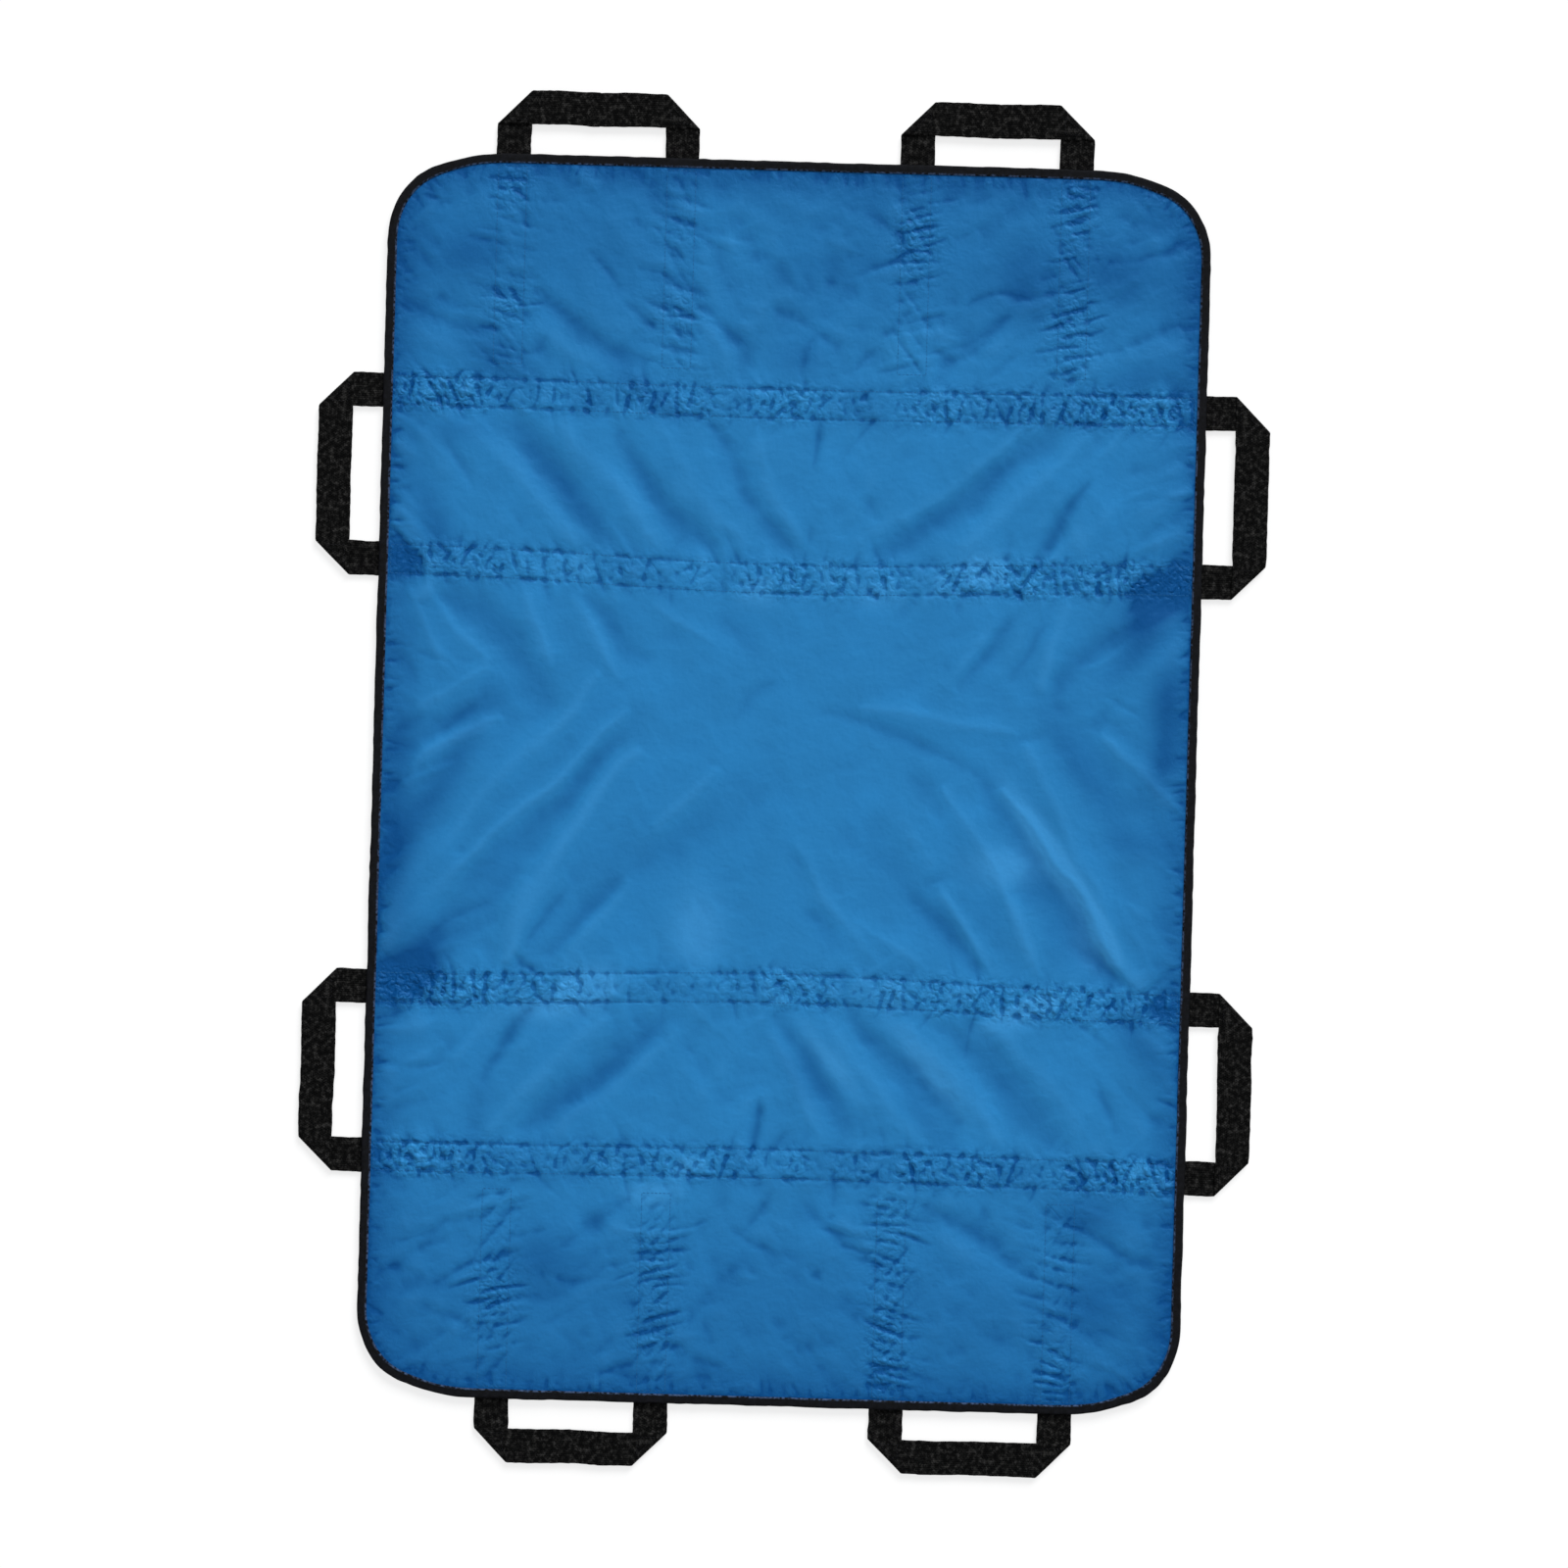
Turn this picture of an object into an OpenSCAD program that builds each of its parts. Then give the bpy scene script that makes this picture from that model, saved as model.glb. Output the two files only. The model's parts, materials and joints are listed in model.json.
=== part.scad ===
// Patient positioning pad: a thin padded transfer sheet with a webbing handle loop at eight places.
// Z = 0 is the underside of the webbing, +Y is the head end, and the pad folds in half along Y = 0.
// The foot half is the head half turned 180 degrees about Z.

/* [Pad] */
// Width across the pad, between the side edges
pad_w = 864; // [800:1:1000]
// Length of the pad, from the head edge to the foot edge
pad_l = 1306; // [1250:1:1500]
// Radius of the pad's four corners
corner_r = 92; // [40:1:110]

/* [Layers] */
// Thickness of the woven face sheet and of the back sheet
sheet_t = 0.4; // [0.3:0.1:0.5]
// Thickness of the waterproof membrane
membrane_t = 0.3; // [0.2:0.1:0.4]
// Thickness of the absorbent core
core_t = 4.5; // [4:0.5:8]

/* [Edge binding] */
// Width of the binding tape on each face
binding_w = 10; // [8:1:14]
// Thickness of the binding tape
binding_t = 0.8; // [0.6:0.1:1]

/* [Webbing] */
// Width of the webbing
web_w = 36; // [25:1:40]
// Thickness of the webbing
web_t = 2; // [1.5:0.1:2.5]

/* [Handles] */
// Clear depth of a hand opening, from the pad's edge to the grip
grip_reach = 31; // [25:1:60]
// Length of the hand opening of a side handle
side_opening = 141; // [120:1:160]
// Distance from the fold line to the middle of a side handle
side_handle_y = 313; // [250:1:340]
// Length of the hand opening of the longer end handle
long_end_opening = 141; // [120:1:150]
// Distance from the centre line to the middle of the longer end handle
long_end_x = 214; // [190:1:230]
// Length of the hand opening of the shorter end handle
short_end_opening = 131; // [110:1:140]
// Distance from the centre line to the middle of the shorter end handle
short_end_x = 205; // [190:1:230]

/* [Stitching] */
// Width of a sewn thread line
thread_w = 0.8; // [0.5:0.1:1]
// Height of a thread above the cloth
thread_t = 0.3; // [0.2:0.1:0.4]
// Distance from the webbing's edge to its thread line
stitch_margin = 3; // [2:0.5:5]
// Distance from the pad's edge to the binding's thread line
binding_stitch_inset = 8; // [5:0.5:8]

/* [Hidden] */
$fn = 64;

// Height of the underside of each layer, in the middle of the pad
back_z = web_t;
membrane_z = back_z + sheet_t;
core_z = membrane_z + membrane_t;
face_z = core_z + core_t;
top_z = face_z + sheet_t;

// The same layers where the binding pinches them together
back_rim_z = back_z + binding_t;
membrane_rim_z = back_rim_z + sheet_t;
core_rim_z = membrane_rim_z + membrane_t;
face_rim_z = top_z - binding_t - sheet_t;
riser_w = 1;

// Each half stops this far short of the fold line
fold_gap = 0.05;

// A handle turns about an axis at half the webbing's thickness, just outside the binding
hinge_gap = 0.2;
hinge_out = web_t / 2 + hinge_gap;

// The two cross straps of a half run on from the legs of its side handles
leg_offset = (side_opening + web_w) / 2;
outer_strap_y = side_handle_y + leg_offset;
inner_strap_y = side_handle_y - leg_offset;

// An end handle's sewn-down tails reach from the end edge to the outer cross strap
tail_gap = 0.1;
tail_from = outer_strap_y + web_w / 2 + tail_gap;
tail_len = pad_l / 2 - tail_from;

// Thread lines lie in grooves on the underside, so that they stay above the ground
groove_d = 0.4;
groove_w = thread_w + 0.2;
thread_clear = 0.05;
stitch_row = web_w / 2 - stitch_margin;
stitch_end = binding_w + 3;
tack_inset = 5;

// ---------- outlines ----------

// Half of the pad's outline, moved in by inset and starting at from_y
module half_outline(inset, from_y = fold_gap) {
    w = pad_w - 2 * inset;
    end = pad_l / 2 - inset;
    r = corner_r - inset;
    translate([-w / 2, from_y]) square([w, end - r - from_y]);
    translate([-w / 2 + r, from_y]) square([w - 2 * r, end - from_y]);
    for (side = [-1, 1]) translate([side * (w / 2 - r), end - r]) circle(r);
}

// The strip between two insets of the half outline, open at the fold line
module half_strip(outer_inset, inner_inset) {
    difference() {
        half_outline(outer_inset);
        half_outline(inner_inset, -1);
    }
}

// Solid plate of a flat shape between two heights
module plate(from_z, to_z) {
    translate([0, 0, from_z]) linear_extrude(to_z - from_z) children();
}

// A thin layer that steps from panel_z in the middle to rim_z inside the binding
module stepped_sheet(panel_z, rim_z, t, step_inset) {
    low = min(panel_z, rim_z);
    high = max(panel_z, rim_z) + t;
    plate(panel_z, panel_z + t) half_outline(step_inset);
    plate(rim_z, rim_z + t) half_strip(binding_t, step_inset + riser_w);
    plate(low, high) half_strip(step_inset, step_inset + riser_w);
}

// ---------- sewn layers ----------

module face_sheet() {
    color("steelblue") stepped_sheet(face_z, face_rim_z, sheet_t, binding_w);
}

module absorbent_core() {
    color("white") {
        plate(core_z, face_z) half_outline(binding_w + 2 * riser_w);
        plate(core_rim_z, face_rim_z) half_outline(binding_t);
    }
}

module waterproof_membrane() {
    color("lightgray") stepped_sheet(membrane_z, membrane_rim_z, membrane_t, binding_w + riser_w);
}

module back_sheet() {
    color("steelblue") stepped_sheet(back_z, back_rim_z, sheet_t, binding_w);
}

// Tape folded round the edge, U-shaped in section
module edge_binding() {
    color([0.08, 0.08, 0.09]) difference() {
        plate(back_z, top_z) half_strip(0, binding_w);
        plate(back_rim_z, top_z - binding_t) half_strip(binding_t, binding_w + 1);
    }
}

module binding_stitching() {
    half_line = thread_w / 2;
    color("black") plate(top_z, top_z + thread_t)
        half_strip(binding_stitch_inset - half_line, binding_stitch_inset + half_line);
}

// ---------- webbing ----------

// Two rows of stitching along a strap, with a crossed box at each end
module stitch_lines(strap_len, line_w) {
    reach = strap_len / 2 - stitch_end;
    box = 2 * stitch_row;
    for (side = [-1, 1]) {
        translate([0, side * stitch_row]) square([2 * reach + line_w, line_w], center = true);
        for (x = [reach, reach - box]) translate([side * x, 0]) square([line_w, box], center = true);
        for (turn = [-45, 45]) translate([side * (reach - stitch_row), 0]) rotate(turn)
            square([box * sqrt(2), line_w], center = true);
    }
}

// A strap sewn flat under the pad, along X, with grooves where its threads lie
module sewn_strap(strap_len) {
    color([0.08, 0.08, 0.09]) difference() {
        translate([-strap_len / 2, -web_w / 2, 0]) cube([strap_len, web_w, web_t]);
        plate(-1, groove_d) stitch_lines(strap_len, groove_w);
    }
}

// The threads of one sewn strap, on the face and in the grooves below
module strap_threads(strap_len) {
    plate(top_z, top_z + thread_t) stitch_lines(strap_len, thread_w);
    plate(thread_clear, groove_d) stitch_lines(strap_len, thread_w);
}

module at_cross_strap(y) {
    translate([0, y, 0]) children();
}

// Both tails of the end handle whose middle is at x
module at_end_tails(x, opening) {
    for (side = [-1, 1])
        translate([x + side * (opening + web_w) / 2, tail_from + tail_len / 2, 0]) rotate(90) children();
}

module strap_stitching() {
    color("black") {
        for (y = [outer_strap_y, inner_strap_y]) at_cross_strap(y) strap_threads(pad_w);
        at_end_tails(-long_end_x, long_end_opening) strap_threads(tail_len);
        at_end_tails(short_end_x, short_end_opening) strap_threads(tail_len);
    }
}

// ---------- handles ----------
// Local frame: X along the pad's edge, Y outwards from the hinge axis, Z up.

fold_y = grip_reach - hinge_out;
tip_y = fold_y + web_w;
// The rounded fold of a corner stops this far short of the webbing's edges
fold_inset = 0.5;

// Half-round bar of a given length, with its flat side on the plane X = 0
module rounded_edge(len, r) {
    linear_extrude(len) intersection() {
        circle(r);
        translate([0, -r]) square([r, 2 * r]);
    }
}

// One length of webbing: two legs and a grip, with a diagonal fold at each corner
module handle(opening) {
    inner = opening / 2;
    outer = inner + web_w;
    color([0.06, 0.06, 0.07]) {
        for (side = [0, 1]) mirror([side, 0, 0]) {
            linear_extrude(web_t) polygon([[inner, 0], [outer, 0], [outer, fold_y], [inner, tip_y]]);
            translate([outer, 0, web_t / 2]) rotate([90, 0, -90]) rounded_edge(web_w, web_t / 2);
            translate([inner, tip_y, web_t]) rotate([90, 0, 45]) translate([0, 0, fold_inset])
                rounded_edge(web_w * sqrt(2) - 2 * fold_inset, web_t);
        }
        plate(web_t, 2 * web_t)
            polygon([[-outer, fold_y], [outer, fold_y], [inner, tip_y], [-inner, tip_y]]);
    }
}

// The doubled triangle of a folded corner, moved in by inset
module corner_triangle(opening, inset) {
    corner = [opening / 2, fold_y];
    in_r = web_w / (2 + sqrt(2));
    middle = corner + [in_r, in_r];
    k = (in_r - inset) / in_r;
    tips = [corner, corner + [web_w, 0], corner + [0, web_w]];
    polygon([for (tip = tips) middle + k * (tip - middle)]);
}

// Thread triangle that holds each folded corner flat
module handle_tacks(opening) {
    color("black") plate(2 * web_t, 2 * web_t + thread_t)
        for (side = [0, 1]) mirror([side, 0]) difference() {
            corner_triangle(opening, tack_inset);
            corner_triangle(opening, tack_inset + thread_w);
        }
}

// ---------- placing ----------

module foot_half() {
    rotate(180) children();
}

module at_long_end() {
    translate([-long_end_x, pad_l / 2 + hinge_out, 0]) children();
}

module at_short_end() {
    translate([short_end_x, pad_l / 2 + hinge_out, 0]) children();
}

// side is -1 for the left edge and 1 for the right edge
module at_side(side) {
    translate([side * (pad_w / 2 + hinge_out), side_handle_y, 0]) rotate(-90 * side) children();
}

face_sheet();  // head_face_sheet
absorbent_core();  // head_absorbent_core
waterproof_membrane();  // head_waterproof_membrane
back_sheet();  // head_back_sheet
edge_binding();  // head_edge_binding
binding_stitching();  // head_binding_stitching
at_cross_strap(outer_strap_y) sewn_strap(pad_w);  // head_outer_cross_strap
at_cross_strap(inner_strap_y) sewn_strap(pad_w);  // head_inner_cross_strap
at_end_tails(-long_end_x, long_end_opening) sewn_strap(tail_len);  // head_left_end_tails
at_end_tails(short_end_x, short_end_opening) sewn_strap(tail_len);  // head_right_end_tails
strap_stitching();  // head_strap_stitching
at_long_end() handle(long_end_opening);  // head_left_end_handle
at_long_end() handle_tacks(long_end_opening);  // head_left_end_handle_tacks
at_short_end() handle(short_end_opening);  // head_right_end_handle
at_short_end() handle_tacks(short_end_opening);  // head_right_end_handle_tacks
at_side(-1) handle(side_opening);  // head_left_side_handle
at_side(-1) handle_tacks(side_opening);  // head_left_side_handle_tacks
at_side(1) handle(side_opening);  // head_right_side_handle
at_side(1) handle_tacks(side_opening);  // head_right_side_handle_tacks

foot_half() face_sheet();  // foot_face_sheet
foot_half() absorbent_core();  // foot_absorbent_core
foot_half() waterproof_membrane();  // foot_waterproof_membrane
foot_half() back_sheet();  // foot_back_sheet
foot_half() edge_binding();  // foot_edge_binding
foot_half() binding_stitching();  // foot_binding_stitching
foot_half() at_cross_strap(outer_strap_y) sewn_strap(pad_w);  // foot_outer_cross_strap
foot_half() at_cross_strap(inner_strap_y) sewn_strap(pad_w);  // foot_inner_cross_strap
foot_half() at_end_tails(short_end_x, short_end_opening) sewn_strap(tail_len);  // foot_left_end_tails
foot_half() at_end_tails(-long_end_x, long_end_opening) sewn_strap(tail_len);  // foot_right_end_tails
foot_half() strap_stitching();  // foot_strap_stitching
foot_half() at_short_end() handle(short_end_opening);  // foot_left_end_handle
foot_half() at_short_end() handle_tacks(short_end_opening);  // foot_left_end_handle_tacks
foot_half() at_long_end() handle(long_end_opening);  // foot_right_end_handle
foot_half() at_long_end() handle_tacks(long_end_opening);  // foot_right_end_handle_tacks
foot_half() at_side(1) handle(side_opening);  // foot_left_side_handle
foot_half() at_side(1) handle_tacks(side_opening);  // foot_left_side_handle_tacks
foot_half() at_side(-1) handle(side_opening);  // foot_right_side_handle
foot_half() at_side(-1) handle_tacks(side_opening);  // foot_right_side_handle_tacks
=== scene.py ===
"""Looks of the patient positioning pad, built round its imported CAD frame.

Lengths in this script are millimetres in the frame's axes (+Y head end, +Z up) until a mesh is made.
The cloth is one sheet over both halves of the pad, and every layer and the binding run across the fold.
"""

import json
import math
from functools import cache

import bpy
import numpy as np
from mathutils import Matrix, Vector


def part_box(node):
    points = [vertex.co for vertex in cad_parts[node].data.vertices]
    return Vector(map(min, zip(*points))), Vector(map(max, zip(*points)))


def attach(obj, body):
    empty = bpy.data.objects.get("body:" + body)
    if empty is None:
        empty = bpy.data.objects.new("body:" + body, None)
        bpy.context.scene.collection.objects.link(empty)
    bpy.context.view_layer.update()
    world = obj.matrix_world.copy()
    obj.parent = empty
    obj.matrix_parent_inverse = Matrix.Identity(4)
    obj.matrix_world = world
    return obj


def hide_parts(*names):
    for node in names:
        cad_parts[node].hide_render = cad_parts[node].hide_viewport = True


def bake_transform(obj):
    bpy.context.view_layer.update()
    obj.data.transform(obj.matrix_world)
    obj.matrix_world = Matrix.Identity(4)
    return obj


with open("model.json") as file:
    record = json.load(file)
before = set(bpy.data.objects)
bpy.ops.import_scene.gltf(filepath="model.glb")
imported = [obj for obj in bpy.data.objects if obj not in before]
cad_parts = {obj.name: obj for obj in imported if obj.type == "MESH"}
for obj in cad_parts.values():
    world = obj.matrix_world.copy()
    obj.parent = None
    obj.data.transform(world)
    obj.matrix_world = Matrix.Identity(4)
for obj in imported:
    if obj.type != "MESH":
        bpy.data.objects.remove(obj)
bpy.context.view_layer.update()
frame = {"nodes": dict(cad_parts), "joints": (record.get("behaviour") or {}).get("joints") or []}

MM = 0.001
HALVES = ("head", "foot")
SIDES = ("left", "right")


# ---------------------------------------------------------------- sizes, read from the frame

def box_mm(node):
    """Lowest and highest corner of a CAD node, in millimetres."""
    low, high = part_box(node)
    return np.array(low) / MM, np.array(high) / MM


def corner_radius():
    """Radius of the pad's corners, from where the binding's end edge stops being straight."""
    points = np.array([v.co for v in frame["nodes"]["head_edge_binding"].data.vertices]) / MM
    end = points[:, 1].max()
    return points[:, 0].max() - np.abs(points[points[:, 1] > end - 0.01, 0]).max()


HALF_W, HALF_L = box_mm("head_edge_binding")[1][:2]
CORNER_R = corner_radius()
STRAP_LOW, STRAP_HIGH = box_mm("head_outer_cross_strap")
WEB_W = STRAP_HIGH[1] - STRAP_LOW[1]
WEB_T = STRAP_HIGH[2] - STRAP_LOW[2]
FACE_Z = box_mm("head_face_sheet")[1][2]
JOINTS = {joint["child"]: joint for joint in frame["joints"]}

STRAP_NODES = [half + "_" + which + "_cross_strap" for half in HALVES for which in ("outer", "inner")]
STRAP_Y = {node: (box_mm(node)[0][1] + box_mm(node)[1][1]) / 2 for node in STRAP_NODES}
HANDLES = [half + "_" + side + "_" + edge + "_handle"
           for half in HALVES for side in SIDES for edge in ("end", "side")]


def tail_places():
    """(half, side, middle x, y nearest the fold, y at the edge) of each sewn-down handle tail."""
    places = []
    for half in HALVES:
        for side in SIDES:
            low, high = box_mm(half + "_" + side + "_end_tails")
            near, far = sorted((low[1], high[1]), key=abs)
            for x in (low[0] + WEB_W / 2, high[0] - WEB_W / 2):
                places.append((half, side, x, near, far))
    return places


TAILS = tail_places()

# Thread rows: distance from the webbing's middle line, and from the pad's edge to a row's end
STITCH_ROW = WEB_W / 2 - 3
STITCH_END = 13
# The binding's width and thickness, how far in its thread row lies, and how far its bend reaches in
BINDING_W = 10
BINDING_T = 0.8
BINDING_STITCH = 8
BINDING_BEND = 2.2
# How far each handle's webbing runs in under the pad
STUB = 34
SHEET_T = 0.4
MEMBRANE_T = 0.3
# Half the strip that bends when the pad is folded, and how much closer the mesh rows lie round it
FOLD_BEND = 12
FOLD_DENSITY = 0.7
FOLD_DENSE_REACH = 40
# How far the cross straps are drawn in towards the pad's middle
INNER_STRAP_BOW = 10.0
OUTER_STRAP_BOW = 3.0
# Beside each corner the end edge is slack and lies this far in, centred this far from the side edge
SLACK = 5.6
SLACK_FROM_SIDE = 65
SLACK_REACH = 32


# ---------------------------------------------------------------- smooth noise

def ease(t):
    return t * t * (3 - 2 * t)


def step(low, high, value):
    """0 below low, 1 above high, and smooth between them."""
    return ease(np.clip((value - low) / (high - low), 0, 1))


def lattice(a, b, seed):
    """A fixed pseudo-random value in -1..1 for each pair of whole numbers."""
    v = np.sin(a * 127.1 + b * 311.7 + seed * 74.7) * 43758.5453
    return 2 * (v - np.floor(v)) - 1


def noise(x, y, seed):
    """Smooth noise in -1..1 with one feature per unit."""
    i, j = np.floor(x), np.floor(y)
    f, g = ease(x - i), ease(y - j)
    low = lattice(i, j, seed) * (1 - f) + lattice(i + 1, j, seed) * f
    high = lattice(i, j + 1, seed) * (1 - f) + lattice(i + 1, j + 1, seed) * f
    return low * (1 - g) + high * g


# ---------------------------------------------------------------- relief of the face cloth

# Folds that the cloth lies in: start x, y, end x, y, half width, height (minus for a valley), bow.
# All but the middle folds lie in the foot half too, turned half a turn.
END_PANEL_FOLDS = (
    (-275, 512, -162, 440, 9, -2.2, 10), (-268, 575, -185, 470, 16, 1.5, 0),
    (-412, 502, -298, 445, 6, -1.5, -3), (-400, 470, -330, 430, 9, 1.0, -3),
    (-112, 502, -38, 440, 6, -1.6, -6), (-105, 480, -62, 440, 7, 1.1, -4),
    (-22, 495, 46, 455, 5, -1.2, -2), (22, 462, 4, 428, 5, -1.5, 2),
    (150, 440, 246, 502, 7, -1.7, -4), (178, 512, 246, 516, 4, -1.1, -10),
    (268, 500, 325, 520, 4, -1.1, 2), (340, 468, 395, 492, 5, -1.2, -3),
    (80, 458, 172, 468, 4, 0.9, -12), (40, 612, 122, 560, 5, -0.9, -12),
    (190, 470, 262, 520, 9, 1.0, 4), (300, 445, 400, 470, 12, 1.2, -4),
    (-200, 600, -150, 540, 9, 0.8, 0), (60, 560, 20, 480, 22, -0.8, 0),
    (-330, 610, -285, 540, 12, 0.9, 0), (330, 600, 410, 575, 9, -1.0, -6),
)
STRAP_PANEL_FOLDS = (
    (-294, 376, -186, 246, 17, -3.0, 4), (-247, 378, -136, 244, 10, 2.0, 2),
    (-186, 350, -78, 244, 14, -2.5, 4), (-150, 378, -44, 244, 9, 1.7, 2),
    (-92, 372, 4, 246, 11, -2.2, 4), (-52, 374, 18, 250, 8, 1.0, 3),
    (-338, 372, -222, 248, 9, 1.6, 4), (-392, 352, -300, 262, 12, 1.1, 6),
    (268, 374, 102, 246, 16, -2.9, -4), (304, 366, 182, 250, 9, 1.9, -4),
    (310, 318, 248, 232, 7, -2.3, -3), (404, 346, 288, 242, 8, 1.7, 4),
    (426, 324, 350, 280, 5, 1.2, 3), (414, 306, 342, 296, 4, -1.0, 4),
    (424, 276, 356, 250, 6, 1.3, 4), (396, 334, 340, 300, 4, -0.9, 2),
    (28, 398, 20, 332, 4, -1.6, 3), (42, 342, 88, 286, 10, -1.0, 0),
    (232, 372, 120, 282, 8, 1.1, -4), (96, 350, 40, 262, 12, 0.9, 0),
    (-428, 286, -382, 238, 8, 1.9, -6), (-382, 236, -386, 184, 7, 1.9, -8),
    (-360, 352, -338, 300, 5, -0.8, 0),
)
INNER_FOLDS = (
    (-372, 196, -258, 92, 17, -2.4, -12), (-398, 190, -350, 108, 5, 1.1, 0),
    (-378, 196, -320, 124, 6, 1.3, 0), (-276, 196, -246, 118, 6, 1.4, 0),
    (-214, 192, -146, 122, 10, -1.7, 2), (-222, 192, -170, 106, 5, 1.2, 2),
    (-146, 186, -80, 144, 5, 0.9, 0), (-72, 176, -28, 128, 12, -1.1, 0),
    (242, 192, 178, 108, 9, -1.5, 0), (222, 182, 164, 108, 5, 0.9, 0),
    (290, 196, 264, 108, 6, 1.3, 0), (270, 180, 226, 116, 5, -0.8, 0),
    (402, 218, 280, 98, 15, -2.4, 8), (430, 182, 348, 84, 20, 2.2, 0),
)
MIDDLE_FOLDS = (
    (-258, 98, -428, 24, 15, -2.1, 0), (-386, 4, -300, 56, 6, 1.6, -13),
    (-386, 74, -320, 116, 6, 1.1, 0), (-195, 110, -416, -156, 8, 2.4, 8),
    (-165, 72, -416, -176, 5, 1.5, 3), (-158, 56, -402, -197, 12, -2.6, 0),
    (-152, 32, -288, -190, 7, 2.1, 15), (-18, -8, -258, -166, 22, -1.8, 6),
    (-78, 6, -136, -46, 9, 1.3, 0), (-236, 90, -300, 36, 10, -1.1, 0),
    (40, 72, 218, 4, 6, -1.6, -11), (78, 80, 242, 56, 7, 1.3, -6),
    (-62, 64, -12, 100, 5, -1.0, -6), (255, 42, 382, -202, 8, 2.4, 0),
    (232, 2, 372, -194, 5, 1.5, 0), (214, 2, 352, -204, 12, -2.4, 5),
    (170, -4, 266, -176, 6, 1.5, -7), (68, -48, 212, -184, 18, -2.0, 0),
    (8, -58, 102, -192, 9, 1.3, 0), (0, -60, 36, -112, 6, -1.2, 0),
    (286, 88, 364, -56, 18, -2.2, -14), (328, 62, 426, -22, 7, 1.5, 0),
    (-424, -8, -418, -104, 14, -1.4, 12), (-230, -100, -300, -168, 10, 1.2, 0),
    (120, 20, 176, -28, 9, -1.0, 0), (110, -20, 160, -90, 14, 1.0, 0),
)


# The cloth sinks where an inner strap meets the side edge: x, y, depth
DIPS = (
    (394, 214, 3.4), (-394, -214, 3.4), (-408, 222, 1.8),
    (408, -222, 1.8), (410, 405, 0.9), (-410, -405, 0.9),
)
# Painted shade patches in the cloth's colour (minus: painted light patches): x, y, half length, half width,
# lean in degrees, strength
SHADES = (
    (386, 213, 26, 18, 0, 0.80), (-386, -213, 26, 18, 0, 0.72), (-402, 227, 22, 13, 0, 0.40),
    (402, -227, 22, 13, 0, 0.30), (396, 40, 40, 16, 85, 0.40), (-404, -60, 120, 18, 90, 0.28),
    (378, 190, 45, 20, 58, 0.75), (-375, -198, 40, 20, 58, 0.70), (398, 100, 32, 18, 80, 0.45),
    (305, 30, 65, 15, -57, 0.35), (375, -55, 35, 20, 0, 0.25), (-365, -20, 100, 16, 61, 0.40),
    (-312, 440, 40, 22, -20, 0.42), (-345, 548, 30, 25, 0, 0.28), (-160, 410, 50, 14, -40, 0.32),
    (5, 446, 30, 20, 0, 0.25), (243, 528, 35, 40, 0, 0.30), (328, 545, 40, 30, 0, 0.30),
    (356, 432, 35, 14, 20, 0.30), (-230, 286, 75, 14, -43, 0.28), (-370, 256, 50, 16, -68, 0.35),
    (160, -350, 50, 12, -50, 0.25), (28, -310, 50, 12, -55, 0.20), (-194, -330, 70, 14, 45, 0.20),
    (-312, -350, 50, 14, 80, 0.20), (326, -444, 40, 22, 0, 0.40), (-240, -506, 35, 30, 0, 0.32),
    (336, -537, 35, 35, 0, 0.27), (377, -260, 50, 18, -50, 0.30),
    (360, 140, 45, 14, 40, 0.26), (-352, 362, 40, 14, 0, 0.20),
    (-384, -400, 22, 20, 0, -0.45), (386, 402, 22, 18, 0, -0.28), (386, -400, 22, 18, 0, -0.24),
    (330, -160, 32, 18, -60, -0.28), (-245, -240, 40, 16, 0, -0.20), (240, -80, 40, 20, 0, -0.20),
    (-90, -402, 25, 14, 0, -0.24), (92, 204, 25, 14, 0, -0.20),
    (-75, 560, 60, 50, 0, -0.20), (202, 225, 30, 20, 0, -0.30), (295, -84, 80, 11, -55, -0.45),
    (264, -228, 40, 15, 20, -0.38), (160, -295, 50, 10, -50, -0.22), (58, -290, 45, 10, -50, -0.18),
    (-190, -218, 35, 18, 0, -0.28), (-86, -156, 40, 25, 90, -0.20), (-384, 399, 20, 20, 0, -0.22),
    (-127, -434, 40, 25, 0, -0.22), (-34, 204, 25, 15, 0, -0.20), (110, 461, 25, 20, 0, -0.16),
)
SHADE_GAIN = 1.5
RIDGE_GAIN = 1.45
VALLEY_GAIN = 0.95
VALLEY_WIDTH = 1.3
# Height of the face where nothing lifts it, how far it may rise and sink, and its least height
FACE_BASE = FACE_Z - 0.7
RISE_LIMIT = 2.8
SINK_LIMIT = 3.9
LEAST_FACE = 3.5
# Heights of the binding's two faces
RIM_TOP = 6.4
RIM_LOW = 2.3
# Spacing of the heights kept over the pad
GRID = 1.25


def span(a, b, reach, half_size):
    """Slice of the grid from reach before the lower of two places to reach after the higher."""
    first = int((min(a, b) - reach + half_size) / GRID)
    last = int((max(a, b) + reach + half_size) / GRID) + 2
    return slice(max(0, first), max(0, last))


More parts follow.
